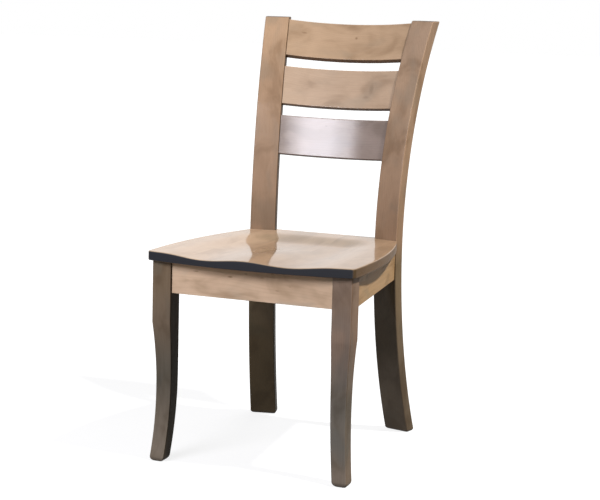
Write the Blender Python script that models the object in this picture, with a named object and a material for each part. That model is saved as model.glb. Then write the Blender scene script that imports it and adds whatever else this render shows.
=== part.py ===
"""A side chair in solid wood: bent back posts turned in towards the sitter, three bowed slats,
a saddle seat, S-curved front legs, and a mortised seat frame braced by screwed corner blocks.

It runs in Blender 4.5, clears the scene and leaves one object for each piece of the chair.
X runs to the viewer's right, Y to the back and Z up from the floor. While the pieces are made,
Y is measured from the front of the front legs; the chair is centred on the origin at the end.
"""

import math

import bmesh
import bpy
from mathutils import Matrix, Vector

MM = 0.001
SIDES = (("left", -1), ("right", 1))

# Clearances
FIT_GAP = 0.3 * MM  # between any two pieces that touch
TOOL_OVERRUN = 6 * MM  # how far a tenon roots in its rail, and how far a mortise tool clears its mouth

# Seat frame
FRONT_WIDTH = 446 * MM  # across the outer faces of the front legs
SEAT_HEIGHT = 457 * MM  # floor to the seat's rim
SEAT_THICKNESS = 20 * MM
APRON_HEIGHT = 68.5 * MM
APRON_THICKNESS = 19 * MM
APRON_SETBACK = 5 * MM  # front and side aprons behind the outer faces of the front legs
REAR_APRON_SETBACK = 1 * MM  # rear apron behind the front edges of the posts
SIDE_APRON_INSET = 2.5 * MM  # side apron inside the outer edge of a post's front face
APRON_ARRIS = 1.2 * MM

# Front legs
LEG_SECTION = 43.5 * MM
LEG_KNEE_HEIGHT = 304 * MM  # the outer faces are plumb above it
LEG_WAIST_HEIGHT = 162 * MM  # where the outer faces are hollowed most
LEG_OUTER_RADIUS = 1310 * MM
LEG_INNER_STRAIGHT_TO = 196 * MM  # the inner faces are plumb above it
LEG_INNER_RADIUS = 1570 * MM
LEG_ARRIS = 3 * MM
LEG_FOOT_ROUNDING = 11 * MM

# Back posts, each sawn from a board as two tangent arcs
POST_HEIGHT = 945 * MM
POST_THICKNESS = 28 * MM
POST_FOOT_WIDTH = 61.5 * MM
POST_TOP_WIDTH = 56.5 * MM
POST_TOE_IN = math.radians(13.2)
POST_SPACING = 243 * MM  # between the inner front edges where the two arcs meet
POST_SETBACK = 418 * MM  # from the front of the front legs to those edges
POST_TANGENT_HEIGHT = 431 * MM
POST_UPPER_RADIUS = 1100 * MM
POST_LOWER_RADIUS = 1260 * MM
POST_ARRIS = 3 * MM
POST_FOOT_ROUNDING = 7 * MM
POST_TOP_ROUNDING = 2.5 * MM

# Slats, set out along the curve of the posts from the top down
SLAT_NAMES = ("top_rail", "middle_slat", "lower_slat")
SLAT_WIDTH = 90.5 * MM
SLAT_GAP = 27.5 * MM
SLAT_THICKNESS = 18 * MM
SLAT_RECESS = 3 * MM  # behind the front faces of the posts
SLAT_ARRIS = 2 * MM
TOP_RAIL_DROP = 4 * MM  # top rail below the tops of the posts

# Tenons
TENON_THICKNESS = 9 * MM
TENON_SHOULDER = 8 * MM  # above and below each tenon
APRON_TENON_LENGTH = 18 * MM
SLAT_TENON_LENGTH = 20 * MM

# Seat
SEAT_OVERHANG = 7.5 * MM  # front corners beyond the outer faces of the front legs
SEAT_FRONT_OVERHANG = 10.5 * MM  # front corners ahead of the front legs
SEAT_FRONT_BOW = 26 * MM
SEAT_SWELL = 2 * MM  # widest point beyond the front corners
SEAT_WIDEST_AT = 60 * MM
SEAT_POST_MARGIN = 2 * MM  # seat beyond the outer edge of a post
SEAT_SIDE_FULLNESS = 2.1  # power of the curve from the widest point back to the posts
SEAT_CORNER_RADIUS = 12 * MM
SEAT_TOP_ROUNDING = 3 * MM
SEAT_BOTTOM_ROUNDING = 2 * MM
SEAT_NOTCH_ROUNDING = 0.6 * MM

# Scoop of the seat
THIGH_DIP = 6 * MM  # depth at the front edge, either side of the ridge
SCOOP_DEPTH = 9 * MM
SCOOP_RIM = 40 * MM  # flat rim along each side
SCOOP_DEEPEST_AT = 230 * MM
SCOOP_WALL_FROM = 295 * MM
SCOOP_WALL_TO = 385 * MM
RIDGE_FULL_TO = 40 * MM
RIDGE_GONE_AT = 290 * MM

# Corner blocks and screws
BLOCK_HEIGHT = 22 * MM
BLOCK_CONTACT = 40 * MM  # length of block against each apron
BLOCK_CORNER_GAP = 4 * MM  # between the block's cut corner and the leg or post
SCREW_FROM_CUT = 16 * MM  # apron screws from the block's cut corner
SCREW_LENGTH = 26 * MM  # under the head
SCREW_BITE = 12 * MM  # into the apron or the seat
SCREW_RADIUS = 2.1 * MM
SCREW_HEAD_RADIUS = 4 * MM
SCREW_HEAD_HEIGHT = 2.4 * MM
SCREW_CROWN_RADIUS = 3 * MM
SCREW_TIP_RADIUS = 0.5 * MM
SCREW_POINT = 4 * MM
HEAD_CLEARANCE = 0.8 * MM
SCREW_FACETS = 10

# Fineness
CORNER_STEPS = 3
ARRIS_STEPS = 2
LEG_STATIONS = 16
POST_STATIONS = 12  # on each of a post's two arcs
SLAT_STATIONS = 14
SEAT_FRONT_STEPS = 34
SEAT_SIDE_STEPS = 14
SEAT_REAR_STEPS = 12
SEAT_RINGS = 11

# Colours, linear
POST_WOOD = (0.34, 0.24, 0.16, 1)
SLAT_WOOD = (0.47, 0.34, 0.25, 1)
SEAT_WOOD = (0.50, 0.38, 0.28, 1)
LEG_WOOD = (0.15, 0.11, 0.08, 1)
APRON_WOOD = (0.38, 0.27, 0.19, 1)
BLOCK_WOOD = (0.55, 0.42, 0.28, 1)
ZINC = (0.60, 0.60, 0.58, 1)
WOOD_ROUGHNESS = 0.35
RAW_WOOD_ROUGHNESS = 0.7
ZINC_ROUGHNESS = 0.4
SMOOTH_ANGLE = math.radians(35)

# Derived sizes
LEG_FACE = FRONT_WIDTH / 2
LEG_INNER_FACE = LEG_FACE - LEG_SECTION
SEAT_UNDERSIDE = SEAT_HEIGHT - SEAT_THICKNESS
FRAME_TOP = SEAT_UNDERSIDE - FIT_GAP
APRON_BOTTOM = SEAT_UNDERSIDE - APRON_HEIGHT
TENON_MIDDLE = (FRAME_TOP + APRON_BOTTOM) / 2
APRON_TENON_WIDTH = APRON_HEIGHT - 2 * TENON_SHOULDER
FRONT_APRON_BACK = APRON_SETBACK + APRON_THICKNESS
TOE_SIN = math.sin(POST_TOE_IN)
TOE_COS = math.cos(POST_TOE_IN)
REAR_APRON_FRONT = POST_SETBACK + REAR_APRON_SETBACK
REAR_APRON_BACK = REAR_APRON_FRONT + APRON_THICKNESS


def clear_scene():
    for obj in list(bpy.data.objects):
        bpy.data.objects.remove(obj)


def finish_of(name, colour, roughness, metallic=0.0):
    material = bpy.data.materials.new(name)
    material.use_nodes = True
    shader = material.node_tree.nodes["Principled BSDF"]
    shader.inputs["Base Color"].default_value = colour
    shader.inputs["Roughness"].default_value = roughness
    shader.inputs["Metallic"].default_value = metallic
    return material


def make_object(name, shape, parent, location=(0, 0, 0), rotation=(0, 0, 0)):
    """An object from a closed bmesh, facing out, shaded smooth up to a sharp edge, under parent."""
    bmesh.ops.recalc_face_normals(shape, faces=shape.faces)
    if shape.calc_volume(signed=True) < 0:
        bmesh.ops.reverse_faces(shape, faces=shape.faces)
    mesh = bpy.data.meshes.new(name)
    shape.to_mesh(mesh)
    shape.free()
    mesh.shade_smooth()
    mesh.set_sharp_from_angle(angle=SMOOTH_ANGLE)
    obj = bpy.data.objects.new(name, mesh)
    obj.location = location
    obj.rotation_euler = rotation
    obj.parent = parent
    bpy.context.scene.collection.objects.link(obj)
    return obj


def paint(obj, colour, roughness=WOOD_ROUGHNESS, metallic=0.0):
    obj.data.materials.clear()
    obj.data.materials.append(finish_of(obj.name + "_finish", colour, roughness, metallic))


def combine(target, tool, operation):
    """Cuts tool from target, or joins it on, and keeps the result as target's own mesh."""
    modifier = target.modifiers.new(tool.name, "BOOLEAN")
    modifier.operation = operation
    modifier.solver = "EXACT"
    modifier.object = tool
    bpy.context.view_layer.update()
    graph = bpy.context.evaluated_depsgraph_get()
    result = bpy.data.meshes.new_from_object(target.evaluated_get(graph))
    target.modifiers.clear()
    target.data = result
    result.set_sharp_from_angle(angle=SMOOTH_ANGLE)


def discard(tool):
    bpy.data.objects.remove(tool)


def loft(rings):
    """A closed shape through rings that hold the same number of points, capped at both ends."""
    shape = bmesh.new()
    loops = [[shape.verts.new(point) for point in ring] for ring in rings]
    count = len(loops[0])
    for lower, upper in zip(loops, loops[1:]):
        for i in range(count):
            j = (i + 1) % count
            shape.faces.new((lower[i], lower[j], upper[j], upper[i]))
    shape.faces.new(loops[0])
    shape.faces.new(loops[-1])
    return shape


def rounded_rectangle(x0, x1, y0, y1, radius):
    """Points round a rectangle with rounded corners."""
    corners = (
        (x1 - radius, y1 - radius, 0),
        (x0 + radius, y1 - radius, 90),
        (x0 + radius, y0 + radius, 180),
        (x1 - radius, y0 + radius, 270),
    )
    points = []
    for x, y, start in corners:
        for step in range(CORNER_STEPS + 1):
            angle = math.radians(start + 90 * step / CORNER_STEPS)
            points.append((x + radius * math.cos(angle), y + radius * math.sin(angle)))
    return points


def end_rounding(distance, radius):
    """How far a rounded end is drawn in, at this distance from the end."""
    if distance >= radius:
        return 0.0
    return radius - math.sqrt(radius**2 - (radius - distance) ** 2)


def end_stations(radius):
    """Distances from a rounded end at which its quarter circle is sampled."""
    return [radius * (1 - math.cos(math.radians(90 * i / CORNER_STEPS))) for i in range(CORNER_STEPS)]


def extruded_plan(points, bottom, top):
    """A plan outline raised from bottom to top."""
    return loft([[(x, y, bottom) for x, y in points], [(x, y, top) for x, y in points]])


def ease_edges_along(shape, direction, width):
    """Rounds the edges of shape that run along direction."""
    edges = []
    for edge in shape.edges:
        span = (edge.verts[1].co - edge.verts[0].co).normalized()
        if abs(span.dot(direction)) > math.cos(SMOOTH_ANGLE):
            edges.append(edge)
    bmesh.ops.bevel(shape, geom=edges, offset=width, segments=ARRIS_STEPS, profile=0.5, affect="EDGES")


def bar_tool(name, chair, length, thickness, width, place):
    """A plain bar from behind its origin to length along local X, centred on Y and Z."""
    shape = bmesh.new()
    bmesh.ops.create_cube(shape, size=1)
    size = Matrix.Diagonal((length + TOOL_OVERRUN, thickness, width, 1))
    shape.transform(place @ Matrix.Translation(((length - TOOL_OVERRUN) / 2, 0, 0)) @ size)
    return make_object(name, shape, chair)


def join_tenon(chair, rail, upright, place, length, width):
    """Gives rail a tenon along place's X axis, and upright the mortise that takes it."""
    tenon = bar_tool("tenon", chair, length, TENON_THICKNESS, width, place)
    combine(rail, tenon, "UNION")
    discard(tenon)
    mortise = bar_tool(
        "mortise",
        chair,
        length + FIT_GAP,
        TENON_THICKNESS + 2 * FIT_GAP,
        width + 2 * FIT_GAP,
        place,
    )
    combine(upright, mortise, "DIFFERENCE")
    discard(mortise)


def leg_outer(height):
    """How far a front leg's outer faces lie inside its top outer faces."""
    if height >= LEG_KNEE_HEIGHT:
        return 0.0
    rise = LEG_KNEE_HEIGHT - LEG_WAIST_HEIGHT
    hollow = LEG_OUTER_RADIUS - math.sqrt(LEG_OUTER_RADIUS**2 - rise**2)
    from_waist = height - LEG_WAIST_HEIGHT
    return hollow - LEG_OUTER_RADIUS + math.sqrt(LEG_OUTER_RADIUS**2 - from_waist**2)


def leg_inner(height):
    """How far a front leg's inner faces lie inside its top outer faces."""
    below = max(LEG_INNER_STRAIGHT_TO - height, 0.0)
    return LEG_SECTION - LEG_INNER_RADIUS + math.sqrt(LEG_INNER_RADIUS**2 - below**2)


def leg_heights():
    heights = end_stations(LEG_FOOT_ROUNDING)
    step = (LEG_KNEE_HEIGHT - LEG_FOOT_ROUNDING) / LEG_STATIONS
    heights += [LEG_FOOT_ROUNDING + step * i for i in range(LEG_STATIONS + 1)]
    return heights + [FRAME_TOP]


def make_front_leg(chair, name, side):
    """A leg sawn to one profile on two faces, square in section at every height."""
    rings = []
    for height in leg_heights():
        drawn_in = end_rounding(height, LEG_FOOT_ROUNDING)
        outer = leg_outer(height) + drawn_in
        inner = leg_inner(height) - drawn_in
        square = rounded_rectangle(outer, inner, outer, inner, LEG_ARRIS)
        rings.append([(-side * x, y, height) for x, y in square])
    leg = make_object(name, loft(rings), chair, location=(side * LEG_FACE, 0, 0))
    paint(leg, LEG_WOOD)
    return leg


def post_radius(height):
    return POST_UPPER_RADIUS if height >= POST_TANGENT_HEIGHT else POST_LOWER_RADIUS


def post_front(height):
    """How far a post's front face has swept back from where its two arcs meet."""
    radius = post_radius(height)
    return radius - math.sqrt(radius**2 - (height - POST_TANGENT_HEIGHT) ** 2)


def post_back(height):
    radius = post_radius(height)
    inner = radius - POST_THICKNESS
    return radius - math.sqrt(inner**2 - (height - POST_TANGENT_HEIGHT) ** 2)


def post_width(height):
    return POST_FOOT_WIDTH + (POST_TOP_WIDTH - POST_FOOT_WIDTH) * height / POST_HEIGHT


def post_heights():
    """Stations up a post: its rounded foot, its two arcs and its rounded top."""
    heights = end_stations(POST_FOOT_ROUNDING)
    top = POST_HEIGHT - POST_TOP_ROUNDING
    for start, end in ((POST_FOOT_ROUNDING, POST_TANGENT_HEIGHT), (POST_TANGENT_HEIGHT, top)):
        step = (end - start) / POST_STATIONS
        heights += [start + step * i for i in range(POST_STATIONS)]
    heights.append(top)
    heights += [POST_HEIGHT - distance for distance in reversed(end_stations(POST_TOP_ROUNDING))]
    return heights


def make_back_post(chair, name, side):
    """Rear leg and back upright in one, in its own frame: X across its face, Y back."""
    rings = []
    for height in post_heights():
        foot = end_rounding(height, POST_FOOT_ROUNDING)
        drawn_in = foot + end_rounding(POST_HEIGHT - height, POST_TOP_ROUNDING)
        section = rounded_rectangle(
            drawn_in,
            post_width(height) - drawn_in,
            post_front(height) + drawn_in,
            post_back(height) - drawn_in,
            POST_ARRIS,
        )
        rings.append([(side * x, y, height) for x, y in section])
    post = make_object(
        name,
        loft(rings),
        chair,
        location=(side * POST_SPACING / 2, POST_SETBACK, 0),
        rotation=(0, 0, -side * POST_TOE_IN),
    )
    paint(post, POST_WOOD)
    return post


def post_point(across, back):
    """Plan position on the right-hand post's frame, in the chair's frame."""
    x = POST_SPACING / 2 + across * TOE_COS + back * TOE_SIN
    y = POST_SETBACK - across * TOE_SIN + back * TOE_COS
    return Vector((x, y))


def post_inner_face_at(y):
    """X of the right-hand post's inner face, at this Y."""
    return POST_SPACING / 2 + (y - POST_SETBACK) * math.tan(POST_TOE_IN)


def post_front_face_at(x):
    """Y of the right-hand post's front face where the arcs meet, at this X."""
    return POST_SETBACK - (x - POST_SPACING / 2) * math.tan(POST_TOE_IN)


def square_to_post(side, across, back, height, lean=0.0):
    """Frame at a point of a post: X outward across its face, Z up its face."""
    origin = post_point(across, back)
    place = Matrix.Translation((side * origin.x, origin.y, height))
    turn = Matrix.Rotation(-side * POST_TOE_IN, 4, "Z")
    if side < 0:
        turn = turn @ Matrix.Rotation(math.pi, 4, "Z")
        lean = -lean
    return place @ turn @ Matrix.Rotation(-lean, 4, "X")


def slat_angles(index):
    """Angles on the posts' upper arc at a slat's lower and upper edge."""
    top = math.asin((POST_HEIGHT - TOP_RAIL_DROP - POST_TANGENT_HEIGHT) / POST_UPPER_RADIUS)
    upper = top - index * (SLAT_WIDTH + SLAT_GAP) / POST_UPPER_RADIUS
    return upper - SLAT_WIDTH / POST_UPPER_RADIUS, upper


def make_slat(chair, name, index, posts):
    """A board bent to an arc that meets each post square to its inner face."""
    low_angle, high_angle = slat_angles(index)
    lean = (low_angle + high_angle) / 2

    def edge_point(angle):
        """The slat's front edge on the right-hand post's inner face, as X, Y, Z."""
        back = POST_UPPER_RADIUS * (1 - math.cos(angle)) + SLAT_RECESS * math.cos(lean)
        height = POST_TANGENT_HEIGHT + POST_UPPER_RADIUS * math.sin(angle)
        plan = post_point(0, back)
        return Vector((plan.x, plan.y, height - SLAT_RECESS * math.sin(lean)))

    low = edge_point(low_angle)
    high = edge_point(high_angle)
    middle = (low + high) / 2
    radius = middle.x / TOE_SIN

    def bow(x):
        return math.sqrt(radius**2 - x**2) - math.sqrt(radius**2 - middle.x**2)

    rise = math.hypot(high.y - low.y, high.z - low.z)
    tilt = math.atan2(high.y - low.y, high.z - low.z)
    tilt -= math.asin((bow(high.x) - bow(low.x)) / rise)
    centre = radius - bow(0)

    def end_angle(up, reach):
        """Angle on the bend at which a point of the section meets the post, less the gap."""
        along = reach * TOE_COS
        across = -reach * TOE_SIN * math.cos(tilt)
        face = POST_SPACING / 2 * TOE_COS - POST_SETBACK * TOE_SIN - FIT_GAP
        target = face + TOE_SIN * (middle.y + up * math.sin(tilt) - centre * math.cos(tilt))
        return math.asin(target / math.hypot(along, across)) - math.atan2(across, along)

    half = rise / 2
    section = rounded_rectangle(-half, half, radius, radius + SLAT_THICKNESS, SLAT_ARRIS)
    rings = []
    for station in range(SLAT_STATIONS + 1):
        share = 2 * station / SLAT_STATIONS - 1
        ring = []
        for up, reach in section:
            angle = share * end_angle(up, reach)
            ring.append((reach * math.sin(angle), reach * math.cos(angle) - centre, up))
        rings.append(ring)
    slat = make_object(
        name,
        loft(rings),
        chair,
        location=(0, middle.y, middle.z),
        rotation=(-tilt, 0, 0),
    )

    inset = SLAT_RECESS + SLAT_THICKNESS / 2
    chord = POST_UPPER_RADIUS * math.cos((high_angle - low_angle) / 2)
    back = POST_UPPER_RADIUS - (chord - inset) * math.cos(lean)
    height = POST_TANGENT_HEIGHT + (chord - inset) * math.sin(lean)
    for side, post in posts.items():
        place = square_to_post(side, 0, back, height, lean)
        width = SLAT_WIDTH - 2 * TENON_SHOULDER
        join_tenon(chair, slat, post, place, SLAT_TENON_LENGTH, width)
    paint(slat, SLAT_WOOD)
    return slat


def make_front_apron(chair, legs):
    half = LEG_INNER_FACE - FIT_GAP
    plan = [
        (-half, APRON_SETBACK),
        (half, APRON_SETBACK),
        (half, FRONT_APRON_BACK),
        (-half, FRONT_APRON_BACK),
    ]
    shape = extruded_plan(plan, APRON_BOTTOM, FRAME_TOP)
    ease_edges_along(shape, Vector((1, 0, 0)), APRON_ARRIS)
    apron = make_object("front_apron", shape, chair)
    middle = (APRON_SETBACK + FRONT_APRON_BACK) / 2
    for side, leg in legs.items():
        place = Matrix.Translation((side * LEG_INNER_FACE, middle, TENON_MIDDLE))
        if side < 0:
            place = place @ Matrix.Rotation(math.pi, 4, "Z")
        join_tenon(chair, apron, leg, place, APRON_TENON_LENGTH, APRON_TENON_WIDTH)
    paint(apron, APRON_WOOD)
    return apron


def make_rear_apron(chair, posts):
    clear = FIT_GAP / TOE_COS
    front = post_inner_face_at(REAR_APRON_FRONT) - clear
    back = post_inner_face_at(REAR_APRON_BACK) - clear
    plan = [
        (-front, REAR_APRON_FRONT),
        (front, REAR_APRON_FRONT),
        (back, REAR_APRON_BACK),
        (-back, REAR_APRON_BACK),
    ]
    shape = extruded_plan(plan, APRON_BOTTOM, FRAME_TOP)
    ease_edges_along(shape, Vector((1, 0, 0)), APRON_ARRIS)
    apron = make_object("rear_apron", shape, chair)
    depth = (REAR_APRON_SETBACK + APRON_THICKNESS / 2) / TOE_COS
    for side, post in posts.items():
        place = square_to_post(side, 0, depth, TENON_MIDDLE)
        join_tenon(chair, apron, post, place, APRON_TENON_LENGTH, APRON_TENON_WIDTH)
    paint(apron, APRON_WOOD)
    return apron


def side_apron_lines():
    """Right-hand side apron in plan: a point on its outer face, its direction, its inward normal."""
    start = Vector((LEG_FACE - APRON_SETBACK, LEG_SECTION))
    width = post_width(TENON_MIDDLE)
    end = post_point(width - SIDE_APRON_INSET, 0)
    direction = (end - start).normalized()
    return start, direction, Vector((-direction.y, direction.x))


def crossing(point, direction, origin, normal):
    """Where the line through point along direction meets the line through origin square to normal."""
    share = (origin - point).dot(normal) / direction.dot(normal)
    return point + direction * share


def side_apron_corners():
    """Outer front, outer rear, inner rear and inner front corners of the right-hand side apron."""
    start, direction, inward = side_apron_lines()
    leg_back = Vector((0, LEG_SECTION + FIT_GAP))
    post_ahead = post_point(0, -FIT_GAP)
    post_normal = Vector((TOE_SIN, TOE_COS))
    inner = start + inward * APRON_THICKNESS
    return [
        crossing(start, direction, leg_back, Vector((0, 1))),
        crossing(start, direction, post_ahead, post_normal),
        crossing(inner, direction, post_ahead, post_normal),
        crossing(inner, direction, leg_back, Vector((0, 1))),
    ]


def make_side_apron(chair, name, side, leg, post):
    """A rail that narrows the frame to the back; both its tenons run straight front to back."""
    corners = side_apron_corners()
    plan = [(side * point.x, point.y) for point in corners]
    shape = extruded_plan(plan, APRON_BOTTOM, FRAME_TOP)
    direction = (corners[1] - corners[0]).normalized()
    ease_edges_along(shape, Vector((side * direction.x, direction.y, 0)), APRON_ARRIS)
    apron = make_object(name, shape, chair)
    front = (corners[0] + corners[3]) / 2
    rear = (corners[1] + corners[2]) / 2
    for end, upright, turn in ((front, leg, -90), (rear, post, 90)):
        place = Matrix.Translation((side * end.x, end.y, TENON_MIDDLE))
        place = place @ Matrix.Rotation(math.radians(turn), 4, "Z")
        join_tenon(chair, apron, upright, place, APRON_TENON_LENGTH, APRON_TENON_WIDTH)
    paint(apron, APRON_WOOD)
    return apron


def smooth_step(value, start, end):
    """0 before start, 1 after end, and an even S-curve between."""
    share = min(max((value - start) / (end - start), 0.0), 1.0)
    return share * share * (3 - 2 * share)


def seat_rear_half():
    return post_point(post_width(SEAT_UNDERSIDE), 0).x + SEAT_POST_MARGIN


def seat_half_width(y):
    front = LEG_FACE + SEAT_OVERHANG
    widest = front + SEAT_SWELL
    if y < SEAT_WIDEST_AT:
        share = (SEAT_WIDEST_AT - y) / (SEAT_WIDEST_AT + SEAT_FRONT_OVERHANG)
        return widest - SEAT_SWELL * share**2
    rear_half = seat_rear_half()
    share = (y - SEAT_WIDEST_AT) / (post_front_face_at(rear_half) - SEAT_WIDEST_AT)
    return widest - (widest - rear_half) * share**SEAT_SIDE_FULLNESS


def scoop(x, y):
    """Depth of the saddle below the rim: two thigh dips with a ridge between, one bowl behind."""
    depth = THIGH_DIP + (SCOOP_DEPTH - THIGH_DIP) * smooth_step(y, 0, SCOOP_DEEPEST_AT)
    depth *= 1 - smooth_step(y, SCOOP_WALL_FROM, SCOOP_WALL_TO)
    share = abs(x) / (seat_half_width(max(y, 0)) - SCOOP_RIM)
    if share >= 1:
        return 0.0
    if share >= 0.5:
        return depth * math.sin(math.pi * share) ** 2
    ridge = 1 - smooth_step(y, RIDGE_FULL_TO, RIDGE_GONE_AT)
    return depth * (1 - ridge * math.cos(math.pi * share) ** 2)


def seat_corner(front_radius):
    """The right front corner's fillet, from the front edge round to the side."""
    corner = Vector((LEG_FACE + SEAT_OVERHANG, -SEAT_FRONT_OVERHANG))
    slope = math.asin(corner.x / front_radius)
    to_front = Vector((-math.cos(slope), -math.sin(slope)))
    ahead = seat_half_width(-SEAT_FRONT_OVERHANG + SEAT_CORNER_RADIUS) - corner.x
    to_side = Vector((ahead, SEAT_CORNER_RADIUS)).normalized()
    half_angle = to_front.angle(to_side) / 2
    centre = corner + (to_front + to_side).normalized() * SEAT_CORNER_RADIUS / math.sin(half_angle)
    reach = SEAT_CORNER_RADIUS / math.tan(half_angle)
    first = corner + to_front * reach - centre
    turn = math.pi - 2 * half_angle
    steps = 2 * CORNER_STEPS
    points = []
    for step in range(steps + 1):
        points.append(centre + Matrix.Rotation(turn * step / steps, 2) @ first)
    return points


def seat_half_outline():
    """Right half of the seat's plan, from front centre to rear centre, with each edge's rounding."""
    half = LEG_FACE + SEAT_OVERHANG
    radius = (half**2 + SEAT_FRONT_BOW**2) / (2 * SEAT_FRONT_BOW)
    front = -SEAT_FRONT_OVERHANG - SEAT_FRONT_BOW
    corner = seat_corner(radius)
    outline = []
    steps = SEAT_FRONT_STEPS // 2
    for step in range(steps):
        x = corner[0].x * step / steps
        outline.append((x, front + radius - math.sqrt(radius**2 - x**2), SEAT_TOP_ROUNDING))
    outline += [(point.x, point.y, SEAT_TOP_ROUNDING) for point in corner]
    rear_half = seat_rear_half()
    start = corner[-1].y
    end = post_front_face_at(rear_half) - FIT_GAP / TOE_COS
    for step in range(1, SEAT_SIDE_STEPS):
        y = start + (end - start) * step / SEAT_SIDE_STEPS
        outline.append((seat_half_width(y), y, SEAT_TOP_ROUNDING))
    outline.append((rear_half, end, SEAT_NOTCH_ROUNDING))
    inner = post_point(-FIT_GAP, -FIT_GAP)
    outline.append((inner.x, inner.y, SEAT_NOTCH_ROUNDING))
    notch_end = post_inner_face_at(REAR_APRON_BACK) - FIT_GAP / TOE_COS
    outline.append((notch_end, REAR_APRON_BACK, SEAT_NOTCH_ROUNDING))
    steps = SEAT_REAR_STEPS // 2
    for step in range(1, steps + 1):
        outline.append((notch_end * (1 - step / steps), REAR_APRON_BACK, SEAT_TOP_ROUNDING))
    return outline


def seat_outline():
    """The whole plan, counter-clockwise from front centre, as points and edge roundings."""
    right = seat_half_outline()
    left = [(-x, y, rounding) for x, y, rounding in reversed(right[1:-1])]
    whole = right + left
    return [Vector((x, y)) for x, y, _ in whole], [rounding for _, _, rounding in whole]


def inset_directions(points):
    """For each point of a closed counter-clockwise outline, the move that shifts both its edges in by 1."""
    moves = []
    for i, point in enumerate(points):
        before = (point - points[i - 1]).normalized()
        after = (points[(i + 1) % len(points)] - point).normalized()
        normals = Vector((-before.y, before.x)), Vector((-after.y, after.x))
        middle = (normals[0] + normals[1]).normalized()
        moves.append(middle / middle.dot(normals[0]))
    return moves


def make_seat(chair):
    """A glued-up panel with a saddle scoop, notched round the posts."""
    points, roundings = seat_outline()
    moves = inset_directions(points)
    share_of_bottom = SEAT_BOTTOM_ROUNDING / SEAT_TOP_ROUNDING
    quarter = [math.radians(90 * i / CORNER_STEPS) for i in range(CORNER_STEPS + 1)]
    rings = []

    def rim_ring(inset_share, height_of):
        ring = []
        for point, move, rounding in zip(points, moves, roundings):
            plan = point + move * rounding * inset_share
            ring.append((plan.x, plan.y, height_of(rounding)))
        rings.append(ring)

    for angle in quarter:
        drawn_in = 1 - math.sin(angle)
        up = 1 - math.cos(angle)
        rim_ring(drawn_in * share_of_bottom, lambda r: SEAT_UNDERSIDE + r * up * share_of_bottom)
    for angle in quarter:
        drawn_in = 1 - math.cos(angle)
        down = 1 - math.sin(angle)
        rim_ring(drawn_in, lambda r: SEAT_HEIGHT - r * down)

    centre = Vector((0, (points[0].y + REAR_APRON_BACK) / 2))
    edge = [Vector(point[:2]) for point in rings[-1]]
    for step in range(1, SEAT_RINGS):
        share = 1 - step / SEAT_RINGS
        ring = [centre + (point - centre) * share for point in edge]
        rings.append([(point.x, point.y, SEAT_HEIGHT) for point in ring])

    shape = loft(rings)
    for vert in shape.verts:
        share = (vert.co.z - SEAT_UNDERSIDE) / SEAT_THICKNESS
        vert.co.z -= scoop(vert.co.x, vert.co.y) * share
    seat = make_object("seat", shape, chair)
    paint(seat, SEAT_WOOD)
    return seat


def skewed(point, corner, first, second):
    """A plan point as distances along two directions from a corner."""
    offset = point - corner
    area = first.x * second.y - first.y * second.x
    along_first = (offset.x * second.y - offset.y * second.x) / area
    along_second = (first.x * offset.y - first.y * offset.x) / area
    return along_first, along_second


def make_corner_block(chair, name, side, corner, rail_direction, side_direction, obstacle):
    """A block across a corner of the frame, its inner corner cut off to clear the leg or post.

    It returns the block and where its screws go: for each, the point under its head and its direction.
    """
    sine = abs(rail_direction.x * side_direction.y - rail_direction.y * side_direction.x)
    corner = corner + (rail_direction + side_direction) * FIT_GAP / sine
    near = sum(skewed(obstacle, corner, rail_direction, side_direction)) + BLOCK_CORNER_GAP
    far = near + BLOCK_CONTACT
    plan = [
        corner + rail_direction * near,
        corner + rail_direction * far,
        corner + side_direction * far,
        corner + side_direction * near,
    ]
    top = FRAME_TOP
    bottom = top - BLOCK_HEIGHT
    centre = sum(plan, Vector((0, 0))) / len(plan)
    outline = [(side * (point.x - centre.x), point.y - centre.y) for point in plan]
    shape = extruded_plan(outline, bottom, top)
    block = make_object(name, shape, chair, location=(side * centre.x, centre.y, 0))
    paint(block, BLOCK_WOOD, RAW_WOOD_ROUGHNESS)

    under_head = SCREW_LENGTH - SCREW_BITE
    height = (top + bottom) / 2
    screws = {}
    for label, direction, other in (
        ("apron", rail_direction, side_direction),
        ("side", side_direction, rail_direction),
    ):
        contact = corner + direction * (near + SCREW_FROM_CUT)
        outward = direction * other.dot(direction) - other
        outward.normalize()
        head = contact - outward * (under_head - FIT_GAP)
        place = Vector((side * head.x, head.y, height))
        screws[label] = (place, Vector((side * outward.x, outward.y, 0)))
    seat_head = Vector((side * centre.x, centre.y, SEAT_UNDERSIDE - under_head))
    screws["seat"] = (seat_head, Vector((0, 0, 1)))
    return block, screws


def disc(radius, height):
    """One ring of a screw or of the hole for it."""
    step = 2 * math.pi / SCREW_FACETS
    return [(radius * math.cos(i * step), radius * math.sin(i * step), height) for i in range(SCREW_FACETS)]


def turn_to(direction):
    return direction.to_track_quat("Z", "Y").to_euler()


def make_screw(chair, name, place, direction):
    """A pan-head wood screw, its origin under the head and its point along direction."""
    rings = [
        disc(SCREW_CROWN_RADIUS, -SCREW_HEAD_HEIGHT),
        disc(SCREW_HEAD_RADIUS, -SCREW_HEAD_HEIGHT / 2),
        disc(SCREW_HEAD_RADIUS, 0),
        disc(SCREW_RADIUS, 0),
        disc(SCREW_RADIUS, SCREW_LENGTH - SCREW_POINT),
        disc(SCREW_TIP_RADIUS, SCREW_LENGTH),
    ]
    screw = make_object(name, loft(rings), chair, location=place, rotation=turn_to(direction))
    paint(screw, ZINC, ZINC_ROUGHNESS, 1.0)
    return screw


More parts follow.
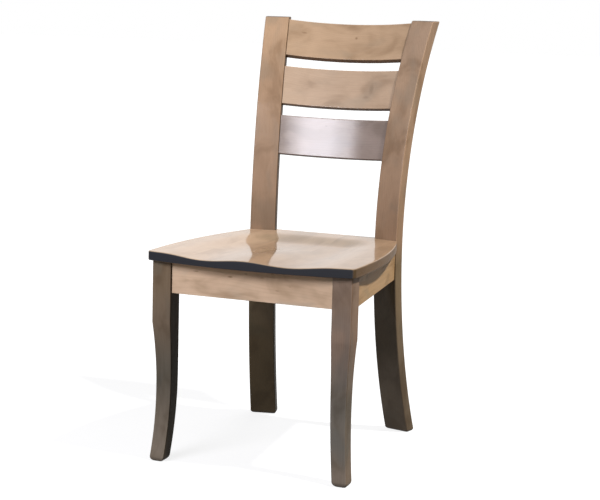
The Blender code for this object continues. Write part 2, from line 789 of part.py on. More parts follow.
def bore_for_screw(chair, place, direction, block, bitten):
    """Counterbores block for the head, and bores it and the bitten piece for the shank."""
    rings = [
        disc(SCREW_HEAD_RADIUS + HEAD_CLEARANCE, -BLOCK_CONTACT),
        disc(SCREW_HEAD_RADIUS + HEAD_CLEARANCE, FIT_GAP),
        disc(SCREW_RADIUS + FIT_GAP, FIT_GAP),
        disc(SCREW_RADIUS + FIT_GAP, SCREW_LENGTH + FIT_GAP),
    ]
    tool = make_object("bore", loft(rings), chair, location=place, rotation=turn_to(direction))
    combine(block, tool, "DIFFERENCE")
    combine(bitten, tool, "DIFFERENCE")
    discard(tool)


def brace_corners(chair, rails, side_aprons, seat):
    """The four corner blocks, each with two screws into the aprons and one up into the seat."""
    outer, direction, inward = side_apron_lines()
    inner = outer + inward * APRON_THICKNESS
    along_front = Vector((-1, 0))
    front_corner = crossing(inner, direction, Vector((0, FRONT_APRON_BACK)), Vector((0, 1)))
    rear_corner = crossing(inner, direction, Vector((0, REAR_APRON_FRONT)), Vector((0, 1)))
    corners = (
        ("front", front_corner, direction, Vector((LEG_INNER_FACE, LEG_SECTION))),
        ("rear", rear_corner, -direction, post_point(0, 0)),
    )
    for end, corner, along_side, obstacle in corners:
        for label, side in SIDES:
            block, screws = make_corner_block(
                chair, f"{end}_corner_block_{label}", side, corner, along_front, along_side, obstacle
            )
            bitten = {"apron": rails[end], "side": side_aprons[side], "seat": seat}
            for key, (place, toward) in screws.items():
                bore_for_screw(chair, place, toward, block, bitten[key])
                make_screw(chair, f"{end}_{key}_screw_{label}", place, toward)


def centre_on_origin(chair):
    """Moves the chair so that its box is centred over the world's origin in Y."""
    bpy.context.view_layer.update()
    depths = []
    for obj in bpy.data.objects:
        if obj.type == "MESH":
            depths += [(obj.matrix_world @ vert.co).y for vert in obj.data.vertices]
    chair.location.y = -(min(depths) + max(depths)) / 2


def build():
    clear_scene()
    chair = bpy.data.objects.new("chair", None)
    bpy.context.scene.collection.objects.link(chair)
    legs = {side: make_front_leg(chair, f"front_leg_{label}", side) for label, side in SIDES}
    posts = {side: make_back_post(chair, f"back_post_{label}", side) for label, side in SIDES}
    for index, name in enumerate(SLAT_NAMES):
        make_slat(chair, name, index, posts)
    rails = {"front": make_front_apron(chair, legs), "rear": make_rear_apron(chair, posts)}
    side_aprons = {}
    for label, side in SIDES:
        name = f"side_apron_{label}"
        side_aprons[side] = make_side_apron(chair, name, side, legs[side], posts[side])
    seat = make_seat(chair)
    brace_corners(chair, rails, side_aprons, seat)
    centre_on_origin(chair)


build()
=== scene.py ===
"""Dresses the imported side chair: finer boards in the places of its solids, stained and clear-coated wood,
zinc-plated screws, a pale floor, soft studio lamps and the photograph's camera.

X runs to the viewer's right, Y to the back of the chair and Z up from the floor, in metres.
"""

import math

import bmesh
import bpy
from mathutils import Euler, Matrix, Vector


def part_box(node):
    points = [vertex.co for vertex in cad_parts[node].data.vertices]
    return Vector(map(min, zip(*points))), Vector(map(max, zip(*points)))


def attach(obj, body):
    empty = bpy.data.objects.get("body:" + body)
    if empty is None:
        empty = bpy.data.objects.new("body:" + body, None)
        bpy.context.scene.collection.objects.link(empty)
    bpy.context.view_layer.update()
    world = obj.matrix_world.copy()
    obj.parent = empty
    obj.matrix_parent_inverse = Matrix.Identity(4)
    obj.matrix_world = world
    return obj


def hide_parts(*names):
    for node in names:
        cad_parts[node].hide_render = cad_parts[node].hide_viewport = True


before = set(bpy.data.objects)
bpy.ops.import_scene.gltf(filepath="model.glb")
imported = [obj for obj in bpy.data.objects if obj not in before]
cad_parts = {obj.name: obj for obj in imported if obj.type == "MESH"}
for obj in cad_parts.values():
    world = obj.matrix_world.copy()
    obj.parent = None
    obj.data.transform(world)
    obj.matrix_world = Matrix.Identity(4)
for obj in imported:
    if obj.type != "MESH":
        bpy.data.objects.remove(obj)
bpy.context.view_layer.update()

MM = 0.001
SIDES = (("left", -1), ("right", 1))

# Where the chair stands in the frame
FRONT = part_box("front_leg_left")[0].y  # front faces of the front legs
SEAT_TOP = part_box("seat")[1].z
FRAME_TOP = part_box("front_apron")[1].z
APRON_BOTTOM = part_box("front_apron")[0].z
POST_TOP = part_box("back_post_left")[1].z
LEG_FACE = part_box("front_leg_right")[1].x  # outer faces of the front legs

# Sizes of the boards
FIT_GAP = 0.3 * MM
SEAT_THICKNESS = 20 * MM
APRON_THICKNESS = 19 * MM
APRON_SETBACK = 5 * MM
REAR_APRON_SETBACK = 1 * MM
SIDE_APRON_INSET = 2.5 * MM
APRON_ARRIS = 1.2 * MM
LEG_SECTION = 43.5 * MM
LEG_KNEE_HEIGHT = 304 * MM
LEG_WAIST_HEIGHT = 162 * MM
LEG_OUTER_RADIUS = 1310 * MM
LEG_INNER_STRAIGHT_TO = 196 * MM
LEG_INNER_RADIUS = 1570 * MM
LEG_ARRIS = 3 * MM
LEG_FOOT_ROUNDING = 11 * MM
POST_THICKNESS = 28 * MM
POST_FOOT_WIDTH = 61.5 * MM
POST_TOP_WIDTH = 56.5 * MM
POST_TOE_IN = math.radians(13.2)
POST_SPACING = 243 * MM
POST_SETBACK = 418 * MM
POST_TANGENT_HEIGHT = 431 * MM
POST_UPPER_RADIUS = 1100 * MM
POST_LOWER_RADIUS = 1260 * MM
POST_ARRIS = 3 * MM
POST_FOOT_ROUNDING = 7 * MM
POST_TOP_ROUNDING = 2.5 * MM
SLAT_NAMES = ("top_rail", "middle_slat", "lower_slat")
SLAT_WIDTH = 90.5 * MM
SLAT_GAP = 27.5 * MM
SLAT_THICKNESS = 18 * MM
SLAT_RECESS = 3 * MM
SLAT_ARRIS = 2 * MM
TOP_RAIL_DROP = 4 * MM

# The seat's outline and its saddle
SEAT_OVERHANG = 7.5 * MM
SEAT_FRONT_OVERHANG = 10.5 * MM
SEAT_FRONT_BOW = 26 * MM
SEAT_SWELL = 2 * MM
SEAT_WIDEST_AT = 60 * MM
SEAT_POST_MARGIN = 2 * MM
SEAT_SIDE_FULLNESS = 2.1
SEAT_CORNER_RADIUS = 12 * MM
SEAT_TOP_ROUNDING = 3 * MM
SEAT_BOTTOM_ROUNDING = 2 * MM
SEAT_NOTCH_ROUNDING = 0.6 * MM
THIGH_DIP = 6 * MM
SCOOP_DEPTH = 9 * MM
SCOOP_RIM = 40 * MM
SCOOP_DEEPEST_AT = 230 * MM
SCOOP_WALL_FROM = 295 * MM
SCOOP_WALL_TO = 385 * MM
RIDGE_FULL_TO = 40 * MM
RIDGE_GONE_AT = 290 * MM

# Fineness
ARC_STEPS = 6
LEG_STATIONS = 48
LEG_TOP_STATIONS = 8
POST_STATIONS = 40
SLAT_STATIONS = 48
APRON_STATIONS = 24
SEAT_FRONT_STEPS = 96
SEAT_SIDE_STEPS = 48
SEAT_REAR_STEPS = 32
NOTCH_FRONT_STEPS = 16
NOTCH_SIDE_STEPS = 8
SEAT_RINGS = 56
SHARP_FROM = math.radians(40)
BOARD_FLATNESS = 100  # weight of large faces in the shading of a board
SEAT_FLATNESS = 50

# Worked out from the sizes
TOE_SIN = math.sin(POST_TOE_IN)
TOE_COS = math.cos(POST_TOE_IN)
APRON_HALF = LEG_FACE - LEG_SECTION - FIT_GAP
REAR_APRON_FRONT = POST_SETBACK + REAR_APRON_SETBACK
REAR_APRON_BACK = REAR_APRON_FRONT + APRON_THICKNESS
SEAT_BOTTOM = SEAT_TOP - SEAT_THICKNESS


# Boards


def smooth_step(value, start, end):
    """0 before start, 1 after end, and an even S-curve between."""
    share = min(max((value - start) / (end - start), 0.0), 1.0)
    return share * share * (3 - 2 * share)


def section(x0, x1, y0, y1, radius):
    """Points round a board's section with eased corners: x, y, and how far the point is onto an arris."""
    corners = (
        (x1 - radius, y1 - radius, 0),
        (x0 + radius, y1 - radius, 90),
        (x0 + radius, y0 + radius, 180),
        (x1 - radius, y0 + radius, 270),
    )
    points = []
    for x, y, start in corners:
        for step in range(ARC_STEPS + 1):
            share = step / ARC_STEPS
            angle = math.radians(start + 90 * share)
            eased = math.sin(math.pi * share)
            points.append((x + radius * math.cos(angle), y + radius * math.sin(angle), eased))
    return points


def end_rounding(distance, radius):
    """How far a rounded end is drawn in, at this distance from the end."""
    if distance >= radius:
        return 0.0
    return radius - math.sqrt(radius**2 - (radius - distance) ** 2)


def end_stations(radius):
    """Distances from a rounded end at which its quarter circle is sampled."""
    return [radius * (1 - math.cos(math.radians(90 * i / ARC_STEPS))) for i in range(ARC_STEPS)]


def end_arris(distance, radius):
    """How far onto the rounded end's arris a station is."""
    if distance >= radius:
        return 0.0
    angle = math.acos(1 - distance / radius)
    return math.sin(2 * angle)


def skin(name, rings, node, location, rotation=(0, 0, 0), flatness=BOARD_FLATNESS):
    """A closed board through rings of (x, y, z, arris) points, in the place of a solid of the frame."""
    shape = bmesh.new()
    arris = shape.verts.layers.float.new("arris")
    loops = []
    for ring in rings:
        loop = []
        for x, y, z, eased in ring:
            vert = shape.verts.new((x, y, z))
            vert[arris] = eased
            loop.append(vert)
        loops.append(loop)
    count = len(loops[0])
    for lower, upper in zip(loops, loops[1:]):
        for i in range(count):
            j = (i + 1) % count
            shape.faces.new((lower[i], lower[j], upper[j], upper[i]))
    shape.faces.new(loops[0])
    shape.faces.new(loops[-1])
    piece = new_piece(name, shape, flatness)
    piece.location = location
    piece.rotation_euler = rotation
    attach(piece, "root")
    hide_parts(node)
    return piece


def new_piece(name, shape, flatness):
    """An object of this closed shape, smooth over its roundings and flat over its faces."""
    bmesh.ops.recalc_face_normals(shape, faces=shape.faces)
    if shape.calc_volume(signed=True) < 0:
        bmesh.ops.reverse_faces(shape, faces=shape.faces)
    mesh = bpy.data.meshes.new(name)
    shape.to_mesh(mesh)
    shape.free()
    mesh.shade_smooth()
    mesh.set_sharp_from_angle(angle=SHARP_FROM)
    piece = bpy.data.objects.new(name, mesh)
    bpy.context.scene.collection.objects.link(piece)
    even = piece.modifiers.new("flat_faces", "WEIGHTED_NORMAL")
    even.weight = flatness
    even.keep_sharp = True
    return piece


def leg_outer(height):
    """How far a front leg's outer faces lie inside its top outer faces."""
    if height >= LEG_KNEE_HEIGHT:
        return 0.0
    rise = LEG_KNEE_HEIGHT - LEG_WAIST_HEIGHT
    hollow = LEG_OUTER_RADIUS - math.sqrt(LEG_OUTER_RADIUS**2 - rise**2)
    return hollow - LEG_OUTER_RADIUS + math.sqrt(LEG_OUTER_RADIUS**2 - (height - LEG_WAIST_HEIGHT) ** 2)


def leg_inner(height):
    """How far a front leg's inner faces lie inside its top outer faces."""
    below = max(LEG_INNER_STRAIGHT_TO - height, 0.0)
    return LEG_SECTION - LEG_INNER_RADIUS + math.sqrt(LEG_INNER_RADIUS**2 - below**2)


def make_front_leg(label, side):
    """Square above the knee, then an S-curve on its outer faces down to a rounded foot."""
    heights = end_stations(LEG_FOOT_ROUNDING)
    step = (LEG_KNEE_HEIGHT - LEG_FOOT_ROUNDING) / LEG_STATIONS
    heights += [LEG_FOOT_ROUNDING + step * i for i in range(LEG_STATIONS + 1)]
    rise = FRAME_TOP - LEG_KNEE_HEIGHT
    heights += [LEG_KNEE_HEIGHT + rise * i / LEG_TOP_STATIONS for i in range(1, LEG_TOP_STATIONS + 1)]
    rings = []
    for height in heights:
        drawn_in = end_rounding(height, LEG_FOOT_ROUNDING)
        outer = leg_outer(height) + drawn_in
        inner = leg_inner(height) - drawn_in
        foot = end_arris(height, LEG_FOOT_ROUNDING)
        square = section(outer, inner, outer, inner, LEG_ARRIS)
        rings.append([(-side * x, y, height, max(eased, foot)) for x, y, eased in square])
    place = (side * LEG_FACE, FRONT, 0)
    return skin(f"{label}_front_leg", rings, f"front_leg_{label}", place)


def post_radius(height):
    """Radius of a post's front face."""
    return POST_UPPER_RADIUS if height >= POST_TANGENT_HEIGHT else POST_LOWER_RADIUS


def post_front(height):
    """How far a post's front face has swept back from where its two arcs meet."""
    radius = post_radius(height)
    return radius - math.sqrt(radius**2 - (height - POST_TANGENT_HEIGHT) ** 2)


def post_back(height):
    """How far behind the meeting of the two arcs a post's rear face lies."""
    radius = post_radius(height)
    inner = radius - POST_THICKNESS
    return radius - math.sqrt(inner**2 - (height - POST_TANGENT_HEIGHT) ** 2)


def post_width(height):
    """Width of a post's front face, which narrows evenly from the foot to the top."""
    return POST_FOOT_WIDTH + (POST_TOP_WIDTH - POST_FOOT_WIDTH) * height / POST_TOP


def make_back_post(label, side):
    """Rear leg and back upright in one board, in its own frame: X across its face, Y back."""
    heights = end_stations(POST_FOOT_ROUNDING)
    top = POST_TOP - POST_TOP_ROUNDING
    for start, end in ((POST_FOOT_ROUNDING, POST_TANGENT_HEIGHT), (POST_TANGENT_HEIGHT, top)):
        heights += [start + (end - start) * i / POST_STATIONS for i in range(POST_STATIONS)]
    heights.append(top)
    heights += [POST_TOP - distance for distance in reversed(end_stations(POST_TOP_ROUNDING))]
    rings = []
    for height in heights:
        from_top = POST_TOP - height
        drawn_in = end_rounding(height, POST_FOOT_ROUNDING) + end_rounding(from_top, POST_TOP_ROUNDING)
        end = end_arris(height, POST_FOOT_ROUNDING) + end_arris(from_top, POST_TOP_ROUNDING)
        board = section(
            drawn_in,
            post_width(height) - drawn_in,
            post_front(height) + drawn_in,
            post_back(height) - drawn_in,
            POST_ARRIS,
        )
        rings.append([(side * x, y, height, max(eased, end)) for x, y, eased in board])
    place = (side * POST_SPACING / 2, FRONT + POST_SETBACK, 0)
    turn = (0, 0, -side * POST_TOE_IN)
    return skin(f"{label}_back_post", rings, f"back_post_{label}", place, turn)


def post_point(across, back):
    """Plan position on the right-hand post's frame, with Y from the front of the front legs."""
    x = POST_SPACING / 2 + across * TOE_COS + back * TOE_SIN
    y = POST_SETBACK - across * TOE_SIN + back * TOE_COS
    return Vector((x, y))


def post_inner_face_at(y):
    """X of the right-hand post's inner face, at this Y."""
    return POST_SPACING / 2 + (y - POST_SETBACK) * math.tan(POST_TOE_IN)


def post_front_face_at(x):
    """Y of the right-hand post's front face where the arcs meet, at this X."""
    return POST_SETBACK - (x - POST_SPACING / 2) * math.tan(POST_TOE_IN)


def make_slat(name, index):
    """A bent board that meets each post square to its inner face."""
    top = math.asin((POST_TOP - TOP_RAIL_DROP - POST_TANGENT_HEIGHT) / POST_UPPER_RADIUS)
    high_angle = top - index * (SLAT_WIDTH + SLAT_GAP) / POST_UPPER_RADIUS
    low_angle = high_angle - SLAT_WIDTH / POST_UPPER_RADIUS
    lean = (low_angle + high_angle) / 2

    def edge_point(angle):
        """The slat's front edge on the right-hand post's inner face."""
        back = POST_UPPER_RADIUS * (1 - math.cos(angle)) + SLAT_RECESS * math.cos(lean)
        height = POST_TANGENT_HEIGHT + POST_UPPER_RADIUS * math.sin(angle)
        plan = post_point(0, back)
        return Vector((plan.x, plan.y, height - SLAT_RECESS * math.sin(lean)))

    low = edge_point(low_angle)
    high = edge_point(high_angle)
    middle = (low + high) / 2
    radius = middle.x / TOE_SIN

    def bow(x):
        """How far the bend lies behind the slat's ends, at this X."""
        return math.sqrt(radius**2 - x**2) - math.sqrt(radius**2 - middle.x**2)

    rise = math.hypot(high.y - low.y, high.z - low.z)
    tilt = math.atan2(high.y - low.y, high.z - low.z)
    tilt -= math.asin((bow(high.x) - bow(low.x)) / rise)
    centre = radius - bow(0)

    def end_angle(up, reach):
        """Angle on the bend at which a point of the section meets the post, less the gap."""
        along = reach * TOE_COS
        across = -reach * TOE_SIN * math.cos(tilt)
        face = POST_SPACING / 2 * TOE_COS - POST_SETBACK * TOE_SIN - FIT_GAP
        target = face + TOE_SIN * (middle.y + up * math.sin(tilt) - centre * math.cos(tilt))
        return math.asin(target / math.hypot(along, across)) - math.atan2(across, along)

    board = section(-rise / 2, rise / 2, radius, radius + SLAT_THICKNESS, SLAT_ARRIS)
    rings = []
    for station in range(SLAT_STATIONS + 1):
        share = 2 * station / SLAT_STATIONS - 1
        ring = []
        for up, reach, eased in board:
            angle = share * end_angle(up, reach)
            ring.append((reach * math.sin(angle), reach * math.cos(angle) - centre, up, eased))
        rings.append(ring)
    return skin(f"{name}_board", rings, name, (0, FRONT + middle.y, middle.z), (-tilt, 0, 0))


def make_apron(name, node, plan):
    """A rail between two ends given in plan: outer start, outer end, inner end, inner start."""
    outer_start, outer_end, inner_end, inner_start = (Vector((x, y, 0)) for x, y in plan)
    along = (outer_end - outer_start).normalized()
    inward = (inner_start - outer_start) - along * (inner_start - outer_start).dot(along)
    turn = math.atan2(along.y, along.x)
    inward_sign = 1 if along.cross(inward).z > 0 else -1
    starts = 0, (inner_start - outer_start).dot(along)
    ends = (outer_end - outer_start).dot(along), (inner_end - outer_start).dot(along)
    board = section(0, APRON_THICKNESS, APRON_BOTTOM, FRAME_TOP, APRON_ARRIS)
    rings = []
    for station in range(APRON_STATIONS + 1):
        ring = []
        for depth, height, eased in board:
            share = depth / APRON_THICKNESS
            begin = starts[0] + (starts[1] - starts[0]) * share
            finish = ends[0] + (ends[1] - ends[0]) * share
            x = begin + (finish - begin) * station / APRON_STATIONS
            ring.append((x, inward_sign * depth, height, eased))
        rings.append(ring)
    place = (outer_start.x, FRONT + outer_start.y, 0)
    return skin(name, rings, node, place, (0, 0, turn))


def cross_plan(outer_half, outer_y, inner_half, inner_y):
    """Plan of a rail that runs across the chair, from half its length at each face."""
    return [(-outer_half, outer_y), (outer_half, outer_y), (inner_half, inner_y), (-inner_half, inner_y)]


def make_cross_aprons():
    """The front rail, square between the legs, and the rear rail, cut to the turned posts."""
    plan = cross_plan(APRON_HALF, APRON_SETBACK, APRON_HALF, APRON_SETBACK + APRON_THICKNESS)
    front = make_apron("front_apron_board", "front_apron", plan)
    clear = FIT_GAP / TOE_COS
    outer_half = post_inner_face_at(REAR_APRON_FRONT) - clear
    inner_half = post_inner_face_at(REAR_APRON_BACK) - clear
    plan = cross_plan(outer_half, REAR_APRON_FRONT, inner_half, REAR_APRON_BACK)
    rear = make_apron("rear_apron_board", "rear_apron", plan)
    return [front, rear]


def make_side_aprons():
    """The two rails from front leg to post, with each shoulder cut to what it meets."""
    start = Vector((LEG_FACE - APRON_SETBACK, LEG_SECTION))
    end = post_point(post_width((FRAME_TOP + APRON_BOTTOM) / 2) - SIDE_APRON_INSET, 0)
    direction = (end - start).normalized()
    inward = Vector((-direction.y, direction.x))
    leg_back = Vector((0, LEG_SECTION + FIT_GAP)), Vector((0, 1))
    post_ahead = post_point(0, -FIT_GAP), Vector((TOE_SIN, TOE_COS))

    def meeting(point, origin, normal):
        """Where the rail's edge through a point meets the plane of a shoulder."""
        return point + direction * ((origin - point).dot(normal) / direction.dot(normal))

    inner = start + inward * APRON_THICKNESS
    corners = [
        meeting(start, *leg_back),
        meeting(start, *post_ahead),
        meeting(inner, *post_ahead),
        meeting(inner, *leg_back),
    ]
    boards = []
    for label, side in SIDES:
        plan = [(side * corner.x, corner.y) for corner in corners]
        boards.append(make_apron(f"{label}_side_apron_board", f"side_apron_{label}", plan))
    return boards


# Seat


def seat_rear_half():
    """Half the seat's width where its sides reach the posts."""
    return post_point(post_width(SEAT_BOTTOM), 0).x + SEAT_POST_MARGIN


def seat_half_width(y):
    """Half the seat's width, with Y from the front of the front legs."""
    front = LEG_FACE + SEAT_OVERHANG
    widest = front + SEAT_SWELL
    if y < SEAT_WIDEST_AT:
        share = (SEAT_WIDEST_AT - y) / (SEAT_WIDEST_AT + SEAT_FRONT_OVERHANG)
        return widest - SEAT_SWELL * share**2
    rear_half = seat_rear_half()
    share = (y - SEAT_WIDEST_AT) / (post_front_face_at(rear_half) - SEAT_WIDEST_AT)
    return widest - (widest - rear_half) * share**SEAT_SIDE_FULLNESS


def scoop(x, y):
    """Depth of the saddle below the rim: two thigh dips with a ridge between, one bowl behind."""
    depth = THIGH_DIP + (SCOOP_DEPTH - THIGH_DIP) * smooth_step(y, 0, SCOOP_DEEPEST_AT)
    depth *= 1 - smooth_step(y, SCOOP_WALL_FROM, SCOOP_WALL_TO)
    share = abs(x) / (seat_half_width(max(y, 0)) - SCOOP_RIM)
    if share >= 1:
        return 0.0
    if share >= 0.5:
        return depth * math.sin(math.pi * share) ** 2
    ridge = 1 - smooth_step(y, RIDGE_FULL_TO, RIDGE_GONE_AT)
    return depth * (1 - ridge * math.cos(math.pi * share) ** 2)


def seat_corner(front_radius):
    """The right front corner's fillet, from the front edge round to the side."""
    corner = Vector((LEG_FACE + SEAT_OVERHANG, -SEAT_FRONT_OVERHANG))
    slope = math.asin(corner.x / front_radius)
    to_front = Vector((-math.cos(slope), -math.sin(slope)))
    ahead = seat_half_width(-SEAT_FRONT_OVERHANG + SEAT_CORNER_RADIUS) - corner.x
    to_side = Vector((ahead, SEAT_CORNER_RADIUS)).normalized()
    half_angle = to_front.angle(to_side) / 2
    centre = corner + (to_front + to_side).normalized() * SEAT_CORNER_RADIUS / math.sin(half_angle)
    first = corner + to_front * SEAT_CORNER_RADIUS / math.tan(half_angle) - centre
    turn = math.pi - 2 * half_angle
    steps = 2 * ARC_STEPS
    return [centre + Matrix.Rotation(turn * step / steps, 2) @ first for step in range(steps + 1)]


def straight_run(start, end, steps, rounding):
    """Points of a straight edge, up to but without its end, with the edge's rounding."""
    run = []
    for step in range(steps):
        share = step / steps
        x = start[0] + (end[0] - start[0]) * share
        y = start[1] + (end[1] - start[1]) * share
        run.append((x, y, rounding))
    return run


def seat_half_outline():
    """Right half of the seat's plan, from front centre to rear centre, with each edge's rounding."""
    half = LEG_FACE + SEAT_OVERHANG
    radius = (half**2 + SEAT_FRONT_BOW**2) / (2 * SEAT_FRONT_BOW)
    front = -SEAT_FRONT_OVERHANG - SEAT_FRONT_BOW
    corner = seat_corner(radius)
    outline = []
    steps = SEAT_FRONT_STEPS // 2
    for step in range(steps):
        x = corner[0].x * step / steps
        outline.append((x, front + radius - math.sqrt(radius**2 - x**2), SEAT_TOP_ROUNDING))
    outline += [(point.x, point.y, SEAT_TOP_ROUNDING) for point in corner]
    rear_half = seat_rear_half()
    start = corner[-1].y
    end = post_front_face_at(rear_half) - FIT_GAP / TOE_COS
    for step in range(1, SEAT_SIDE_STEPS):
        y = start + (end - start) * step / SEAT_SIDE_STEPS
        outline.append((seat_half_width(y), y, SEAT_TOP_ROUNDING))
    notch_corner = post_point(-FIT_GAP, -FIT_GAP)
    notch_end = post_inner_face_at(REAR_APRON_BACK) - FIT_GAP / TOE_COS, REAR_APRON_BACK
    outline += straight_run((rear_half, end), notch_corner, NOTCH_FRONT_STEPS, SEAT_NOTCH_ROUNDING)
    outline += straight_run(notch_corner, notch_end, NOTCH_SIDE_STEPS, SEAT_NOTCH_ROUNDING)
    outline.append((*notch_end, SEAT_NOTCH_ROUNDING))
    steps = SEAT_REAR_STEPS // 2
    for step in range(1, steps + 1):
        outline.append((notch_end[0] * (1 - step / steps), REAR_APRON_BACK, SEAT_TOP_ROUNDING))
    return outline


def inset_directions(points):
    """For each point of a closed outline, the move that shifts both its edges in by 1."""
    moves = []
    for i, point in enumerate(points):
        before = (point - points[i - 1]).normalized()
        after = (points[(i + 1) % len(points)] - point).normalized()
        normals = Vector((-before.y, before.x)), Vector((-after.y, after.x))
        middle = (normals[0] + normals[1]).normalized()
        moves.append(middle / middle.dot(normals[0]))
    return moves


def seat_rings():
    """Rings of the panel before it is carved: up its rounded edge, then in across its top."""
    right = seat_half_outline()
    whole = right + [(-x, y, rounding) for x, y, rounding in reversed(right[1:-1])]
    points = [Vector((x, y)) for x, y, _ in whole]
    roundings = [rounding for _, _, rounding in whole]
    moves = inset_directions(points)
    rings = []

    def add_rim_ring(inset, height, rise, eased):
        """The outline, drawn in and raised by these shares of each edge's rounding."""
        ring = []
        for point, move, rounding in zip(points, moves, roundings):
            plan = point + move * rounding * inset
            ring.append((plan.x, plan.y, height + rounding * rise, eased))
        rings.append(ring)

    bottom_share = SEAT_BOTTOM_ROUNDING / SEAT_TOP_ROUNDING
    quarter = [math.radians(90 * i / ARC_STEPS) for i in range(ARC_STEPS + 1)]
    for angle in quarter:
        inset = (1 - math.sin(angle)) * bottom_share
        rise = (1 - math.cos(angle)) * bottom_share
        add_rim_ring(inset, SEAT_BOTTOM, rise, math.sin(2 * angle))
    for angle in quarter:
        add_rim_ring(1 - math.cos(angle), SEAT_TOP, math.sin(angle) - 1, math.sin(2 * angle))

    centre = Vector((0, (points[0].y + REAR_APRON_BACK) / 2))
    edge = [Vector(point[:2]) for point in rings[-1]]
    for step in range(1, SEAT_RINGS):
        share = 1 - step / SEAT_RINGS
        rings.append([(*(centre + (point - centre) * share), SEAT_TOP, 0.0) for point in edge])
    return rings


def make_seat():
    """A glued-up panel with a saddle scoop, notched round the posts."""
    carved = []
    for ring in seat_rings():
        carved.append([])
        for x, y, z, eased in ring:
            share = (z - SEAT_BOTTOM) / SEAT_THICKNESS
            carved[-1].append((x, y, z - scoop(x, y) * share, eased))
    return skin("seat_panel", carved, "seat", (0, FRONT, 0), flatness=SEAT_FLATNESS)


# Shader helpers

WHITE = (1, 1, 1, 1)
MIX_FIRST_COLOUR = 6  # the Mix node's colour sockets share their names with others
MIX_SECOND_COLOUR = 7
MIX_MIXED_COLOUR = 2


def feed(tree, node, inputs):
    """Gives each of these inputs of a node a link or a value."""
    for key, value in inputs.items():
        if isinstance(value, bpy.types.NodeSocket):
            tree.links.new(value, node.inputs[key])
        else:
            node.inputs[key].default_value = value


def add(tree, kind, inputs=None, **settings):
    """Adds a node, sets its properties, and feeds its inputs."""
    node = tree.nodes.new(kind)
    for name, value in settings.items():
        setattr(node, name, value)
    feed(tree, node, inputs or {})
    return node


def calc(tree, operation, *values):
    """The result of a Math node."""
    return add(tree, "ShaderNodeMath", dict(enumerate(values)), operation=operation).outputs[0]


def vector_calc(tree, operation, *values, result="Vector"):
    """A result of a Vector Math node: its vector, or its number where that is asked for."""
    node = add(tree, "ShaderNodeVectorMath", dict(enumerate(values)), operation=operation)
    return node.outputs[result]


def component(tree, vector, axis):
    """One component of a vector."""
    return add(tree, "ShaderNodeSeparateXYZ", {"Vector": vector}).outputs[axis]


def blend(tree, share, first, second, mode="MIX"):
    """A colour between two others, or the first multiplied by the second to this share."""
    inputs = {"Factor": share, MIX_FIRST_COLOUR: first, MIX_SECOND_COLOUR: second}
    node = add(tree, "ShaderNodeMix", inputs, data_type="RGBA", blend_type=mode)
    return node.outputs[MIX_MIXED_COLOUR]


def spread(tree, value, low, high, to_low=0.0, to_high=1.0, smooth=True):
    """A value carried from one range to another, held at both ends."""
    inputs = {"Value": value, "From Min": low, "From Max": high, "To Min": to_low, "To Max": to_high}
    kind = "SMOOTHSTEP" if smooth else "LINEAR"
    return add(tree, "ShaderNodeMapRange", inputs, interpolation_type=kind).outputs["Result"]


def noise(tree, place, stretch, scale, detail, roughness, distortion=0.0):
    """Noise with 1/scale from feature to feature, and more along an axis whose stretch is under 1."""
    inputs = {
        "Vector": vector_calc(tree, "MULTIPLY", place, stretch),
        "Scale": scale,
        "Detail": detail,
        "Roughness": roughness,
        "Distortion": distortion,
    }
    return add(tree, "ShaderNodeTexNoise", inputs).outputs["Fac"]


def new_group(name, inputs, outputs):
    """A shader node group with sockets of these names and kinds: its tree, given sockets and output node."""
    tree = bpy.data.node_groups.new(name, "ShaderNodeTree")
    for way, sockets in (("INPUT", inputs), ("OUTPUT", outputs)):
        for label, kind in sockets.items():
            tree.interface.new_socket(label, in_out=way, socket_type=f"NodeSocket{kind}")
    return tree, tree.nodes.new("NodeGroupInput").outputs, tree.nodes.new("NodeGroupOutput")


def use_group(tree, group, inputs):
    """The outputs of a node group that is fed with these inputs."""
    return add(tree, "ShaderNodeGroup", inputs, node_tree=group).outputs


def new_material(name):
    """A material with nodes: itself, its tree and its shader."""
    material = bpy.data.materials.new(name)
    material.use_nodes = True
    tree = material.node_tree
    return material, tree, tree.nodes["Principled BSDF"]


# Wood

FIGURE_MARKS = ("Mottle", "Bloom", "Rings", "Streaks", "Flecks")
STAINS = ("Pale", "Body", "Deep", "Cool", "End Grain")

# Marks of the figure, in a frame whose Z runs along the grain
MOTTLE = {"stretch": (1, 1, 0.55), "scale": 19, "detail": 3, "roughness": 0.5, "distortion": 0.6}
BLOOM = {"stretch": (1, 1, 0.5), "scale": 15, "detail": 2, "roughness": 0.5, "distortion": 0.4}
BLOOM_SHIFT = (3.1, 1.7, 0.4)
STREAKS = {"stretch": (1, 1, 0.05), "scale": 230, "detail": 4, "roughness": 0.6}
FLECKS = {"stretch": (1, 1, 0.07), "scale": 1300, "detail": 2, "roughness": 0.6}
FLECK_EDGE = (0.6, 0.7)
TREE_HEART = (0.04, 0.09, 0.0)
RING_WIDTH = 4 * MM
RING_EDGE = (0.1, 1.0)
RING_WANDER = {"stretch": (1, 1, 0.18), "scale": 11, "detail": 2, "roughness": 0.5}
RING_WANDER_REACH = 50 * MM

# Pin knots
KNOT_RAGGEDNESS = {"Scale": 400.0, "Detail": 2.0}
KNOT_WOBBLE = 2 * MM
KNOT_EDGE = (1.0, 0.2)
KNOT_DEPTH = 60 * MM
KNOT_TONE = (0.55, 0.50, 0.46, 1)

# Where in a mark's noise a stain begins and where it is full
PALE_MOTTLE = (0.35, 0.68)
DEEP_MOTTLE = (0.5, 0.3)
COOL_BLOOM = (0.52, 0.7)
DARK_STREAKS = (0.45, 0.75)
BRIGHT_STREAKS = (0.45, 0.25)

